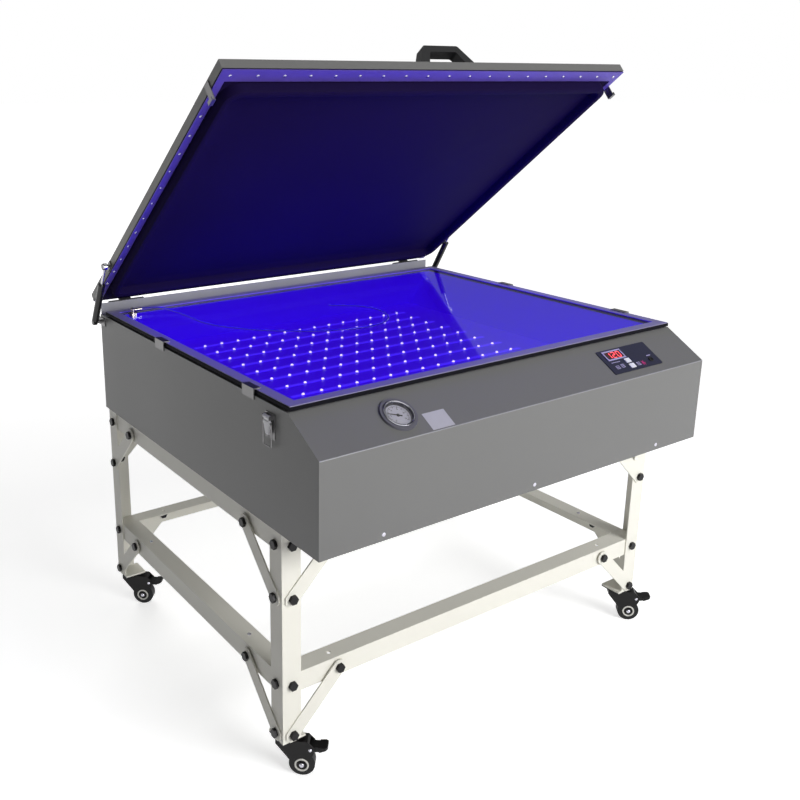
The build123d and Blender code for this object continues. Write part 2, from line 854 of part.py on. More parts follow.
with BuildPart() as display_window:
    with BuildSketch(slope_plane.offset(panel_plate - display_depth)):
        with Locations((display_x, display_up)):
            Rectangle(display_width, display_height)
    extrude(amount=display_depth + 0.4)
save(display_window.part, "display_window")

for name, up in zip(("upper", "lower"), key_ups):
    with BuildPart() as key:
        with BuildSketch(slope_plane.offset(panel_plate + key_proud)):
            with Locations((key_x, up)):
                Rectangle(key_width, key_length)
        extrude(amount=-key_proud - panel_plate - key_rest)
    save(key.part, f"key_{name}")

# ------------------------------------------------------------------ suction nozzle at the glass corner
nozzle_flange = 11.0
z_barb = z_glass + nozzle_rise
with BuildPart() as suction_nozzle:
    with BuildSketch(Plane.XY.offset(z_glass_under - 8)):
        with Locations((nozzle_x, nozzle_y)):
            Circle(nozzle_post / 2)
    extrude(amount=z_barb + 4 - z_glass_under + 8)
    with BuildSketch(Plane.XY.offset(z_glass)):
        with Locations((nozzle_x, nozzle_y)):
            RegularPolygon(nozzle_flange, 6)
    extrude(amount=3)
    with BuildSketch(Plane.XY.offset(z_glass_under - 4)):
        with Locations((nozzle_x, nozzle_y)):
            RegularPolygon(9, 6)
    extrude(amount=4)
    with BuildSketch(Plane.YZ.offset(nozzle_x)):
        with Locations((nozzle_y, z_barb)):
            Circle(hose_diameter / 2 + 1)
    extrude(amount=nozzle_barb)
save(suction_nozzle.part, "suction_nozzle")

# ------------------------------------------------------------------ vacuum hose lying on the glass
# It leaves the nozzle's barb, drops to the glass and runs forward, then lies in one open bend.
z_hose = z_glass + hose_diameter / 2 + hose_lift
hose_route = [
    (nozzle_barb, 0.0, z_barb),
    (50.0, 0.0, z_barb),
    (73.0, 21.0, z_barb - 1.5),
    (89.0, 59.0, z_hose + 0.8),
    (93.0, 104.0, z_hose),
    (92.5, 154.0, z_hose),
    (103.0, 202.0, z_hose),
    (131.0, 252.0, z_hose),
    (170.0, 299.0, z_hose),
    (222.0, 343.0, z_hose),
    (282.0, 379.0, z_hose),
    (346.0, 401.0, z_hose),
    (406.0, 400.0, z_hose),
    (450.0, 379.0, z_hose),
    (480.0, 340.0, z_hose),
    (494.0, 291.0, z_hose),
    (487.0, 247.0, z_hose),
    (461.0, 214.0, z_hose),
    (422.0, 187.0, z_hose),
]
hose_points = [
    Vector(nozzle_x + across, behind(nozzle_back - forward), z) for across, forward, z in hose_route
]
hose_radii = []
for before, here, after in zip(hose_points, hose_points[1:], hose_points[2:]):
    run_in = here - before
    run_out = after - here
    shorter = min(run_in.length, run_out.length)
    hose_radii.append(0.45 * shorter / tan(radians(run_in.get_angle(run_out) / 2)))
print("hose radii", [round(radius) for radius in hose_radii])
with BuildPart() as vacuum_hose:
    with BuildLine() as hose_path:
        FilletPolyline(*hose_points, radius=hose_radii)
    with BuildSketch(hose_path.line ^ 0):
        RegularPolygon(hose_diameter / 2, hose_sides)
    sweep()
hose_length = hose_path.wire().length
hose_section = hose_sides / 2 * (hose_diameter / 2) ** 2 * sin(radians(360 / hose_sides))
hose_share = vacuum_hose.part.volume / (hose_section * hose_length)
print("hose length", round(hose_length), "volume share", round(hose_share, 5))
save(vacuum_hose.part, "vacuum_hose")

# ------------------------------------------------------------------ hinges
knuckle_radius = hinge_knuckle / 2
knuckle_share = hinge_width / 3
knuckle_gap = 0.3
hinge_middles = (-hinge_centre, hinge_centre)


with BuildPart() as hinge_base_leaves:
    for middle in hinge_middles:
        with BuildSketch(Plane.YZ.offset(middle)):
            with BuildLine():
                Polyline(
                    (y_rear, z_top - hinge_leaf_drop),
                    (y_rear + hinge_leaf, z_top - hinge_leaf_drop),
                    (y_rear + hinge_leaf, z_top),
                    (pin_y, pin_z - knuckle_radius),
                    (pin_y - knuckle_radius, pin_z),
                    (y_rear, z_top),
                    close=True,
                )
            make_face()
        extrude(amount=hinge_width / 2, both=True)
        with BuildSketch(Plane.YZ.offset(middle)):
            with Locations((pin_y, pin_z)):
                Circle(knuckle_radius)
        extrude(amount=hinge_width / 2, both=True)
        # Room for the lid's knuckle in the middle third, then the pin through all three.
        with BuildSketch(Plane.YZ.offset(middle)):
            with Locations((pin_y, pin_z)):
                Circle(knuckle_radius + 2 * knuckle_gap)
        extrude(amount=knuckle_share / 2 + knuckle_gap, both=True, mode=Mode.SUBTRACT)
        with BuildSketch(Plane.YZ.offset(middle)):
            with Locations((pin_y, pin_z)):
                Circle(hinge_pin_diameter / 2)
        extrude(amount=hinge_width / 2, both=True)
save(hinge_base_leaves.part, "hinge_base_leaves")


def on_lid(y, z):
    """A point given in the lid's own directions (back along the lid, out of its top), as y and z."""
    return pin_y + y * lid_cosine + z * lid_sine, pin_z - y * lid_sine + z * lid_cosine


with BuildPart() as hinge_lid_leaves:
    for middle in hinge_middles:
        with BuildSketch(Plane.YZ.offset(middle)):
            with BuildLine():
                Polyline(
                    on_lid(lid_rear_reach, lid_top - 2),
                    on_lid(lid_rear_reach + hinge_leaf, lid_top - 2),
                    on_lid(lid_rear_reach + hinge_leaf, lid_underside - 2),
                    on_lid(knuckle_radius, 0),
                    on_lid(0, knuckle_radius),
                    on_lid(lid_rear_reach, lid_underside),
                    close=True,
                )
            make_face()
            with Locations(on_lid(0, 0)):
                Circle(knuckle_radius)
                Circle(hinge_pin_diameter / 2 + running_clearance, mode=Mode.SUBTRACT)
        extrude(amount=knuckle_share / 2, both=True)
        with BuildSketch(Plane.YZ.offset(middle)):
            with BuildLine():
                Polyline(
                    on_lid(lid_rear_reach, lid_top - 2),
                    on_lid(lid_rear_reach + hinge_leaf, lid_top - 2),
                    on_lid(lid_rear_reach + hinge_leaf, lid_underside),
                    on_lid(lid_rear_reach, lid_underside),
                    close=True,
                )
            make_face()
        extrude(amount=hinge_width / 2, both=True)
save(hinge_lid_leaves.part, "hinge_lid_leaves")

# ------------------------------------------------------------------ lid pan
lid_length = lid_front_reach + lid_rear_reach
lid_middle = (lid_rear_reach - lid_front_reach) / 2
with BuildPart() as lid_shell:
    with BuildSketch(lid_plane.offset(lid_underside)):
        with Locations((0, lid_middle)):
            Rectangle(lid_width, lid_length)
    extrude(amount=lid_thickness)
    pan_mouth = lid_shell.faces().sort_by(Axis(lid_plane.origin, lid_plane.z_dir))[0]
    offset(amount=-sheet, openings=[pan_mouth])
    # Folded-in flange that the blanket is clamped to.
    with BuildSketch(lid_plane.offset(lid_underside)):
        with Locations((0, lid_middle)):
            Rectangle(lid_width, lid_length)
        with Locations((0, lid_middle + (lid_flange_front - lid_flange_side) / 2)):
            Rectangle(
                lid_width - 2 * lid_flange_side,
                lid_length - lid_flange_front - lid_flange_side,
                mode=Mode.SUBTRACT,
            )
    extrude(amount=sheet)
save(lid_shell.part, "lid_shell")

# ------------------------------------------------------------------ blanket and clamping strips
bead_height = pin_above + lid_underside - blanket_thickness - (z_frame - z_top) - bead_clearance
z_blanket = lid_underside - blanket_thickness
bead_middle = -(bead_front_reach + bead_rear_reach) / 2
bead_length = bead_front_reach - bead_rear_reach
with BuildPart() as blanket:
    with BuildSketch(lid_plane.offset(z_blanket)):
        with Locations((0, lid_middle + (blanket_margin - blanket_rear_margin) / 2)):
            Rectangle(
                lid_width - 2 * blanket_margin, lid_length - blanket_margin - blanket_rear_margin
            )
    extrude(amount=blanket_thickness)
    with BuildSketch(lid_plane.offset(z_blanket)):
        with Locations((0, bead_middle)):
            RectangleRounded(bead_outer_width, bead_length, bead_radius)
            RectangleRounded(
                bead_outer_width - 2 * bead_width,
                bead_length - 2 * bead_width,
                bead_radius - bead_width,
                mode=Mode.SUBTRACT,
            )
    extrude(amount=-bead_height)
save(blanket.part, "blanket")

with BuildPart() as clamp_strips:
    side_length = lid_length - lid_flange_front - blanket_margin - blanket_rear_margin
    with BuildSketch(lid_plane.offset(z_blanket)):
        strip_x = half_lid - blanket_margin - clamp_side_width / 2
        with Locations(
            *[
                (sx * strip_x, lid_rear_reach - blanket_rear_margin - side_length / 2)
                for sx in (-1, 1)
            ]
        ):
            Rectangle(clamp_side_width, side_length)
        with Locations((0, -lid_front_reach + blanket_margin + lid_flange_front / 2)):
            Rectangle(lid_width - 2 * blanket_margin, lid_flange_front)
    extrude(amount=-clamp_bar)
save(clamp_strips.part, "clamp_strips")

# ------------------------------------------------------------------ bridge handle
with BuildPart() as handle:
    handle_plane = Plane(
        origin=lid_plane.from_local_coords((0, -handle_reach, lid_top)),
        x_dir=(1, 0, 0),
        z_dir=-lid_plane.y_dir,
    )
    half_span = handle_span / 2
    half_bar = handle_bar / 2
    with BuildSketch(handle_plane) as bridge:
        with BuildLine():
            Polyline(
                (-half_span, 0),
                (-half_bar, handle_height),
                (half_bar, handle_height),
                (half_span, 0),
                (half_span - handle_foot, 0),
                (half_bar - 10, handle_height - handle_thickness),
                (10 - half_bar, handle_height - handle_thickness),
                (handle_foot - half_span, 0),
                close=True,
            )
        make_face()
        fillet(bridge.vertices().sort_by(Axis.Y)[-4:], 7)
    extrude(amount=handle_depth / 2, both=True)
save(handle.part, "handle")

# ------------------------------------------------------------------ lid catches
catch_reach = pin_y - behind(latch_centre)
catch_top = lid_top - 4
catch_bottom = -14.0
catch_lip = 7.5
with BuildPart() as lid_catches:
    for sx in (-1, 1):
        catch_plane = Plane(
            origin=lid_plane.from_local_coords((sx * half_lid, -catch_reach, 0)),
            x_dir=(sx, 0, 0),
            z_dir=-sx * lid_plane.y_dir,
        )
        with BuildSketch(catch_plane):
            with BuildLine():
                Polyline(
                    (0, catch_top),
                    (clip_thickness, catch_top),
                    (clip_thickness, catch_bottom + clip_thickness),
                    (catch_lip - clip_thickness, catch_bottom + clip_thickness),
                    (catch_lip - clip_thickness, catch_bottom + catch_lip),
                    (catch_lip, catch_bottom + catch_lip),
                    (catch_lip, catch_bottom),
                    (0, catch_bottom),
                    close=True,
                )
            make_face()
        extrude(amount=catch_width / 2, both=True)
save(lid_catches.part, "lid_catches")

# ------------------------------------------------------------------ gas struts
strut_foot_y = y_rear - strut_box_back
strut_foot_z = z_top - strut_box_drop
strut_head_y, strut_head_z = on_lid(-strut_lid_reach, strut_lid_height)
strut_length = hypot(strut_head_y - strut_foot_y, strut_head_z - strut_foot_z)
strut_rise = degrees(atan2(strut_head_z - strut_foot_z, strut_head_y - strut_foot_y))
closed_head_y = pin_y - strut_lid_reach
closed_head_z = pin_z + strut_lid_height
closed_length = hypot(closed_head_y - strut_foot_y, closed_head_z - strut_foot_z)
closed_rise = degrees(atan2(closed_head_z - strut_foot_z, closed_head_y - strut_foot_y))
strut_stroke = strut_length - closed_length
print("strut length", round(strut_length, 2), "closed", round(closed_length, 2))
print("strut turn", round(closed_rise - strut_rise, 3), "stroke", round(strut_stroke, 3))
cylinder_radius = strut_cylinder_diameter / 2
rod_radius = strut_rod_diameter / 2
box_eye_bore = strut_box_stud / 2 + running_clearance
lid_eye_bore = strut_lid_stud / 2 + strut_lid_play
cylinder_start = box_eye_bore + strut_eye_wall - 1
cylinder_end = cylinder_start + strut_cylinder_length
piston_length = 6.0
piston_clearance = 0.1
bore_start = cylinder_start + 4
rod_inner_end = bore_start + strut_stroke + 1

for side_name, sx in sides.items():
    strut_origin = (sx * strut_plane, strut_foot_y, strut_foot_z)
    along = (0, cos(radians(strut_rise)), sin(radians(strut_rise)))
    eye_plane = Plane(origin=strut_origin, x_dir=along, z_dir=(1, 0, 0))
    axis_plane = Plane(origin=strut_origin, x_dir=(1, 0, 0), z_dir=along)
    with BuildPart() as cylinder:
        with BuildSketch(axis_plane.offset(cylinder_start)):
            Circle(cylinder_radius)
        extrude(amount=strut_cylinder_length)
        with BuildSketch(eye_plane):
            Circle(box_eye_bore + strut_eye_wall)
        extrude(amount=strut_eye_width / 2, both=True)
        with BuildSketch(eye_plane):
            Circle(box_eye_bore)
        extrude(amount=strut_eye_width, both=True, mode=Mode.SUBTRACT)
        with BuildSketch(axis_plane.offset(bore_start)):
            Circle(cylinder_radius - 1.5)
        extrude(amount=cylinder_end - strut_neck - bore_start, mode=Mode.SUBTRACT)
        with BuildSketch(axis_plane.offset(bore_start)):
            Circle(rod_radius + running_clearance)
        extrude(amount=cylinder_end - bore_start, mode=Mode.SUBTRACT)
    save(cylinder.part, f"strut_cylinder_{side_name}")

    rod_eye_radius = lid_eye_bore + strut_eye_wall - 0.8
    with BuildPart() as rod:
        with BuildSketch(axis_plane.offset(rod_inner_end)):
            Circle(rod_radius)
        extrude(amount=strut_length - lid_eye_bore - 1 - rod_inner_end)
        with BuildSketch(axis_plane.offset(rod_inner_end)):
            Circle(cylinder_radius - 1.5 - piston_clearance)
        extrude(amount=piston_length)
        head_plane = Plane(
            origin=(sx * strut_plane, strut_head_y, strut_head_z), x_dir=along, z_dir=(1, 0, 0)
        )
        with BuildSketch(head_plane):
            Circle(rod_eye_radius)
            Circle(lid_eye_bore, mode=Mode.SUBTRACT)
        extrude(amount=strut_eye_width / 2, both=True)
    save(rod.part, f"strut_rod_{side_name}")

stud_head = 2.5
stud_rim = 2.2
stud_play = 0.3
box_bracket_width = 18.0
with BuildPart() as strut_box_studs:
    for sx in (-1, 1):
        wall = Plane(
            origin=(sx * half_width, strut_foot_y, strut_foot_z), x_dir=(0, 1, 0), z_dir=(sx, 0, 0)
        )
        reach = strut_plane + strut_eye_width / 2 + stud_play - half_width
        with BuildSketch(wall):
            with Locations((-box_bracket_width / 2 + strut_box_back - 1, 0)):
                Rectangle(box_bracket_width * 2, box_bracket_width)
        extrude(amount=clip_thickness)
        with BuildSketch(wall):
            Circle(strut_box_stud / 2)
        extrude(amount=reach)
        with BuildSketch(wall.offset(reach)):
            RegularPolygon(strut_box_stud / 2 + stud_rim, 6)
        extrude(amount=stud_head)
save(strut_box_studs.part, "strut_box_studs")

with BuildPart() as strut_lid_studs:
    for sx in (-1, 1):
        wall = Plane(
            origin=lid_plane.from_local_coords((sx * half_lid, -strut_lid_reach, strut_lid_height)),
            x_dir=lid_plane.y_dir,
            z_dir=(sx, 0, 0),
        )
        reach = strut_plane + strut_eye_width / 2 + stud_play - half_lid
        with BuildSketch(wall):
            Rectangle(26, 2 * (lid_top - strut_lid_height) - 2)
        extrude(amount=clip_thickness)
        with BuildSketch(wall):
            Circle(strut_lid_stud / 2)
        extrude(amount=reach)
        with BuildSketch(wall.offset(reach)):
            RegularPolygon(lid_eye_bore + stud_rim, 6)
        extrude(amount=stud_head)
save(strut_lid_studs.part, "strut_lid_studs")

# ------------------------------------------------------------------ draw latches
latch_y = behind(latch_centre)
z_latch_top = z_top - latch_plate_drop
z_latch_pivot = z_top - latch_pivot_drop
latch_ear = 1.2
ear_inner = latch_lever_width / 2 + 0.3
lever_hub = 3.6
loop_drop = 10.0
loop_boss = 4.9
z_loop_pivot = z_latch_pivot - loop_drop
wire_radius = latch_wire / 2
loop_side = latch_loop_width / 2 - wire_radius

with BuildPart() as latch_plates:
    for sx in (-1, 1):
        wall = Plane.YZ.offset(sx * half_width)
        out = sx * (latch_pivot_out + lever_hub)
        with BuildSketch(wall):
            with Locations((latch_y, z_latch_top - latch_plate_height / 2)):
                Rectangle(latch_plate_width, latch_plate_height)
        extrude(amount=sx * sheet)
        for ear in (-1, 1):
            ear_middle = latch_y + ear * (ear_inner + latch_ear / 2)
            with BuildSketch(Plane.XZ.offset(-ear_middle)):
                with Locations((sx * half_width + out / 2, z_latch_pivot)):
                    Rectangle(abs(out), 2 * lever_hub)
            extrude(amount=latch_ear / 2, both=True)
        with BuildSketch(Plane.XZ.offset(-latch_y)):
            with Locations((sx * (half_width + latch_pivot_out), z_latch_pivot)):
                Circle(latch_pin_diameter / 2)
        extrude(amount=ear_inner + latch_ear / 2, both=True)
save(latch_plates.part, "latch_plates")

for side_name, sx in sides.items():
    pivot_x = sx * (half_width + latch_pivot_out)
    with BuildPart() as lever:
        with BuildSketch(Plane.XZ.offset(-latch_y)):
            with Locations((pivot_x, z_latch_pivot)):
                Circle(lever_hub)
        extrude(amount=latch_lever_width / 2, both=True)
        # Tapering strap that hangs down from the hub, with its tip turned outwards.
        lever_face = Plane(
            origin=(pivot_x - sx * 1.2, latch_y, z_latch_pivot), x_dir=(0, 1, 0), z_dir=(1, 0, 0)
        )
        with BuildSketch(lever_face):
            with BuildLine():
                Polyline(
                    (-latch_lever_width / 2, 0),
                    (latch_lever_width / 2, 0),
                    (latch_lever_width / 2, -loop_drop - 4),
                    (5, -latch_lever_length),
                    (-5, -latch_lever_length),
                    (-latch_lever_width / 2, -loop_drop - 4),
                    close=True,
                )
            make_face()
        extrude(amount=sx * 2.4)
        with BuildSketch(Plane.XZ.offset(-latch_y)):
            with Locations((pivot_x, z_loop_pivot)):
                Rectangle(loop_boss, loop_boss)
        extrude(amount=latch_lever_width / 2, both=True)
        with BuildSketch(Plane.XZ.offset(-latch_y)):
            with Locations((pivot_x, z_latch_pivot)):
                Circle(latch_pin_diameter / 2 + running_clearance)
            with Locations((pivot_x, z_loop_pivot)):
                Circle(wire_radius + running_clearance)
        extrude(amount=latch_lever_width, both=True, mode=Mode.SUBTRACT)
    save(lever.part, f"latch_lever_{side_name}")

    # Wire loop whose ends turn into the lever.
    bend = 4.0
    wire_end = latch_lever_width / 2 - 3
    with BuildPart() as loop:
        with BuildLine(Plane.YZ.offset(pivot_x)) as wire:
            FilletPolyline(
                (latch_y + wire_end, z_loop_pivot),
                (latch_y + loop_side, z_loop_pivot),
                (latch_y + loop_side, z_loop_pivot - latch_loop_length),
                (latch_y - loop_side, z_loop_pivot - latch_loop_length),
                (latch_y - loop_side, z_loop_pivot),
                (latch_y - wire_end, z_loop_pivot),
                radius=2.0,
            )
        with BuildSketch(wire.line ^ 0):
            RegularPolygon(wire_radius, 6)
        sweep()
    save(loop.part, f"latch_loop_{side_name}")
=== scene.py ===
"""Dresses the screen printing exposure unit: camera, light, materials and the small pieces that the solids leave out.

Metres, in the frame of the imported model: the origin is on the floor under the unit, +X to the operator's right,
+Y to the rear and +Z up.
"""
import json
import bmesh
import bpy
from math import atan2, cos, hypot, pi, radians, sin
from mathutils import Matrix, Vector

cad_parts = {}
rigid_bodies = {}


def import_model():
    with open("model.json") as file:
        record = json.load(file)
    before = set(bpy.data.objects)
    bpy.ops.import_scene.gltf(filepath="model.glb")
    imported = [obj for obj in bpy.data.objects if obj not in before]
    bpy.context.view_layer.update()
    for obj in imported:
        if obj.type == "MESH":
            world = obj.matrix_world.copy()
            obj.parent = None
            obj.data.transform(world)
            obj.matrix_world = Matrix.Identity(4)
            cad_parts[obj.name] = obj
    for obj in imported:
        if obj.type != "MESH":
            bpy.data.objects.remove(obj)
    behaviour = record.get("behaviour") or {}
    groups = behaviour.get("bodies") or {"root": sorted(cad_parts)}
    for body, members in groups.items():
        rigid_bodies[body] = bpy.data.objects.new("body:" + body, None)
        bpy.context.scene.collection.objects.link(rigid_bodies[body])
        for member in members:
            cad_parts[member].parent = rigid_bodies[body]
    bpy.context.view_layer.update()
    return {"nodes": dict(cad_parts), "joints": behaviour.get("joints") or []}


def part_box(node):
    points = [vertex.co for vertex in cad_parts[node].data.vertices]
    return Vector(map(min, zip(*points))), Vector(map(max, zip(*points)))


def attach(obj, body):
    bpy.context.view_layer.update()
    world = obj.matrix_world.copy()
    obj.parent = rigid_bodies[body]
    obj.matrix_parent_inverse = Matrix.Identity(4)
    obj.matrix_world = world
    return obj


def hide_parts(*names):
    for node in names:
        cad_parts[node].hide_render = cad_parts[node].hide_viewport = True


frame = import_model()

# ------------------------------------------------------------------ small tools


def colour(code):
    """A colour written as sRGB hex, as the linear RGBA that shaders take."""
    parts = [int(code[k : k + 2], 16) / 255 for k in (1, 3, 5)]
    return [c / 12.92 if c < 0.04045 else ((c + 0.055) / 1.055) ** 2.4 for c in parts] + [1.0]


def add(tree, kind, **settings):
    """Adds a shader node and sets its properties and inputs, with _ for a space in an input's name."""
    made = tree.nodes.new(kind)
    for key, value in settings.items():
        if hasattr(made, key):
            setattr(made, key, value)
        else:
            made.inputs[key.replace("_", " ")].default_value = value
    return made


def surface(
    name, base, rough, metal=0.0, mottle=0.08, patch=5.0, grain=0.1, fine=900.0, stretch=(1, 1, 1), **extra
):
    """A painted, moulded or metal finish: the base colour drifts in soft patches and fine grain bumps it.

    patch and fine are cycles per metre, and stretch pulls both patterns along an axis.
    """
    made = bpy.data.materials.new(name)
    made.use_nodes = True
    tree = made.node_tree
    shader = tree.nodes["Principled BSDF"]
    shader.inputs["Metallic"].default_value = metal
    for key, value in extra.items():
        shader.inputs[key.replace("_", " ")].default_value = value
    spot = add(tree, "ShaderNodeTexCoord")
    pull = add(tree, "ShaderNodeMapping", Scale=stretch)
    soft = add(tree, "ShaderNodeTexNoise", Scale=patch, Detail=3.0)
    hard = add(tree, "ShaderNodeTexNoise", Scale=fine, Detail=2.0)
    tint = add(tree, "ShaderNodeMix", data_type="RGBA")
    tone = colour(base)
    tint.inputs[6].default_value = [c * (1 - mottle) for c in tone[:3]] + [1]
    tint.inputs[7].default_value = [min(1.0, c * (1 + mottle)) for c in tone[:3]] + [1]
    gloss = add(tree, "ShaderNodeMapRange", To_Min=rough * 0.88, To_Max=min(1.0, rough * 1.12))
    bump = add(tree, "ShaderNodeBump", Strength=grain, Distance=0.0005)
    link = tree.links.new
    link(spot.outputs["Object"], pull.inputs["Vector"])
    link(pull.outputs["Vector"], soft.inputs["Vector"])
    link(pull.outputs["Vector"], hard.inputs["Vector"])
    link(soft.outputs["Fac"], tint.inputs["Factor"])
    link(tint.outputs[2], shader.inputs["Base Color"])
    link(soft.outputs["Fac"], gloss.inputs["Value"])
    link(gloss.outputs["Result"], shader.inputs["Roughness"])
    link(hard.outputs["Fac"], bump.inputs["Height"])
    link(bump.outputs["Normal"], shader.inputs["Normal"])
    return made


def glow(name, base, strength, rough=0.5, **extra):
    """A surface that also gives off its own light."""
    made = surface(name, base, rough, **extra)
    shader = made.node_tree.nodes["Principled BSDF"]
    shader.inputs["Emission Color"].default_value = colour(base)
    shader.inputs["Emission Strength"].default_value = strength
    return made


def dress(material, *nodes):
    """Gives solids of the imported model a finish."""
    for name in nodes:
        slots = frame["nodes"][name].material_slots
        for slot in slots:
            slot.material = material


def piece(name, mesh, body, material, smooth=0.6):
    """Turns a bmesh into a piece that rides on a body. Faces are smooth up to an angle in radians."""
    bmesh.ops.recalc_face_normals(mesh, faces=mesh.faces)
    data = bpy.data.meshes.new(name)
    mesh.to_mesh(data)
    mesh.free()
    made = bpy.data.objects.new(name, data)
    bpy.context.collection.objects.link(made)
    data.materials.append(material)
    for polygon in data.polygons:
        polygon.use_smooth = smooth > 0
    if smooth > 0:
        data.set_sharp_from_angle(angle=smooth)
    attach(made, body)
    return made


def lathe(mesh, profile, place, steps=32):
    """Turns a profile of (radius, height) points about +Z, then puts it in place."""
    points = [mesh.verts.new((r, 0, h)) for r, h in profile]
    lines = [mesh.edges.new(pair) for pair in zip(points, points[1:])]
    turned = bmesh.ops.spin(
        mesh, geom=points + lines, cent=(0, 0, 0), axis=(0, 0, 1), angle=2 * pi, steps=steps, use_merge=True
    )
    made = {v for v in turned["geom_last"] if isinstance(v, bmesh.types.BMVert)} | set(points)
    reach = set(made)
    front = list(made)
    while front:
        for edge in front.pop().link_edges:
            for vert in edge.verts:
                if vert not in reach:
                    reach.add(vert)
                    front.append(vert)
    bmesh.ops.transform(mesh, matrix=place, verts=list(reach))
    bmesh.ops.remove_doubles(mesh, verts=list(reach), dist=1e-6)


def block(mesh, size, place, edge=0.0):
    """A box of a given size about the origin of place, its edges rounded a little."""
    made = bmesh.ops.create_cube(mesh, size=1, matrix=place @ Matrix.Diagonal((*size, 1)))
    if edge:
        lines = {e for v in made["verts"] for e in v.link_edges}
        bmesh.ops.bevel(mesh, geom=list(lines), offset=edge, segments=2, affect="EDGES", profile=0.7)


def at(x, y, z):
    return Matrix.Translation((x, y, z))


# ------------------------------------------------------------------ places on the object
shell_low, shell_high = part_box("cabinet_shell")
y_front = shell_low[1]
half_width = shell_high[0]
z_box = shell_low[2]
z_deck = shell_high[2]
z_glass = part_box("glass")[1][2]
slope_run, slope_rise, front_height = 0.092, 0.054, 0.176
slope_long = hypot(slope_run, slope_rise)
slope = Matrix(
    (
        (1, 0, 0, 0),
        (0, slope_run / slope_long, -slope_rise / slope_long, y_front),
        (0, slope_rise / slope_long, slope_run / slope_long, z_box + front_height),
        (0, 0, 0, 1),
    )
)
hinge = next(j for j in frame["joints"] if j["name"] == "lid_hinge")
lid_open = radians(38.5)
lid = at(*hinge["pos_m"]) @ Matrix.Rotation(-lid_open, 4, "X")
lid_top, lid_front = 0.030, -0.828

# ------------------------------------------------------------------ camera
# Set where the photograph was taken from: ahead of the unit, to its left and a little above the glass.
camera_data = bpy.data.cameras.new("camera")
camera = bpy.data.objects.new("camera", camera_data)
bpy.context.collection.objects.link(camera)
camera_data.sensor_width = 36.0
camera_data.lens = 926.12 / 800 * camera_data.sensor_width
camera_data.shift_x = (400 - 301.15) / 800
camera_data.shift_y = (336.61 - 400) / 800
camera_data.clip_end = 200
turned, tipped, rolled = radians(-33.426), radians(90 - 15.314), radians(-0.116)
camera.matrix_world = (
    at(-1.26989, -1.11565 + y_front, 1.18031 + 0.082)
    @ Matrix.Rotation(turned, 4, "Z")
    @ Matrix.Rotation(tipped, 4, "X")
    @ Matrix.Rotation(rolled, 4, "Z")
)
bpy.context.scene.camera = camera

# ------------------------------------------------------------------ vacuum hose
# One soft, clear tube from the nozzle's barb across the glass; it ends bare, as the photograph shows.
hose_diameter = 0.004
z_barb = z_glass + 0.009
z_hose = z_glass + hose_diameter / 2 + 0.0002
nozzle_x, nozzle_back = -0.450, 0.832
hose_route = [
    (nozzle_x + 0.022, nozzle_back, z_barb),
    (nozzle_x + 0.050, nozzle_back, z_barb),
    (-0.377, 0.811, z_barb - 0.0015),
    (-0.361, 0.773, z_hose + 0.0008),
    (-0.357, 0.728, z_hose),
    (-0.3575, 0.678, z_hose),
    (-0.347, 0.630, z_hose),
    (-0.319, 0.580, z_hose),
    (-0.280, 0.533, z_hose),
    (-0.228, 0.489, z_hose),
    (-0.168, 0.453, z_hose),
    (-0.104, 0.431, z_hose),
    (-0.044, 0.432, z_hose),
    (0.000, 0.453, z_hose),
    (0.030, 0.492, z_hose),
    (0.044, 0.541, z_hose),
    (0.037, 0.585, z_hose),
    (0.011, 0.618, z_hose),
    (-0.028, 0.645, z_hose),
]
hose_curve = bpy.data.curves.new("vacuum_hose_tube", "CURVE")
hose_curve.dimensions = "3D"
hose_curve.bevel_depth = hose_diameter / 2
hose_curve.bevel_resolution = 4
hose_curve.resolution_u = 6
hose_curve.use_fill_caps = True
hose_line = hose_curve.splines.new("NURBS")
hose_line.points.add(len(hose_route) - 1)
for point, (x, back, z) in zip(hose_line.points, hose_route):
    point.co = (x, y_front + back, z, 1)
hose_line.order_u = 3
hose_line.use_endpoint_u = True
hose = bpy.data.objects.new("vacuum_hose_tube", hose_curve)
bpy.context.collection.objects.link(hose)
# The tube's lilac tint is painted violet lamp light; the vinyl itself is clear.
hose_curve.materials.append(
    surface(
        "clear vinyl hose", "#b7aeff", 0.14, mottle=0.05, grain=0.02, Transmission_Weight=1.0, IOR=1.22
    )
)
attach(hose, "cabinet")
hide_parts("vacuum_hose")

# ------------------------------------------------------------------ floor and light
# A pale floor in a white studio, with one large soft light from the front right.
floor_mesh = bmesh.new()
bmesh.ops.create_circle(floor_mesh, cap_ends=True, segments=64, radius=60)
floor_data = bpy.data.meshes.new("floor")
floor_mesh.to_mesh(floor_data)
floor_mesh.free()
floor = bpy.data.objects.new("floor", floor_data)
bpy.context.collection.objects.link(floor)
floor_finish = surface(
    "matt white floor", "#f4f4f4", 0.9, mottle=0.01, grain=0.0, Emission_Color=colour("#ffffff")
)
floor_seen = add(floor_finish.node_tree, "ShaderNodeLightPath")
floor_mirrored = add(floor_finish.node_tree, "ShaderNodeMath", operation="MAXIMUM")
floor_through = add(floor_finish.node_tree, "ShaderNodeMath", operation="MAXIMUM")
floor_white = add(floor_finish.node_tree, "ShaderNodeMath", operation="MULTIPLY")
floor_link = floor_finish.node_tree.links.new
floor_spot = add(floor_finish.node_tree, "ShaderNodeTexCoord")
floor_reach = add(floor_finish.node_tree, "ShaderNodeVectorMath", operation="LENGTH")
floor_far = add(
    floor_finish.node_tree, "ShaderNodeMapRange", From_Min=2.0, From_Max=7.0, To_Min=0.58, To_Max=0.96
)
floor_link(floor_spot.outputs["Object"], floor_reach.inputs[0])
floor_link(floor_reach.outputs["Value"], floor_far.inputs["Value"])
floor_link(floor_far.outputs["Result"], floor_white.inputs[1])
floor_link(floor_seen.outputs["Is Camera Ray"], floor_mirrored.inputs[0])
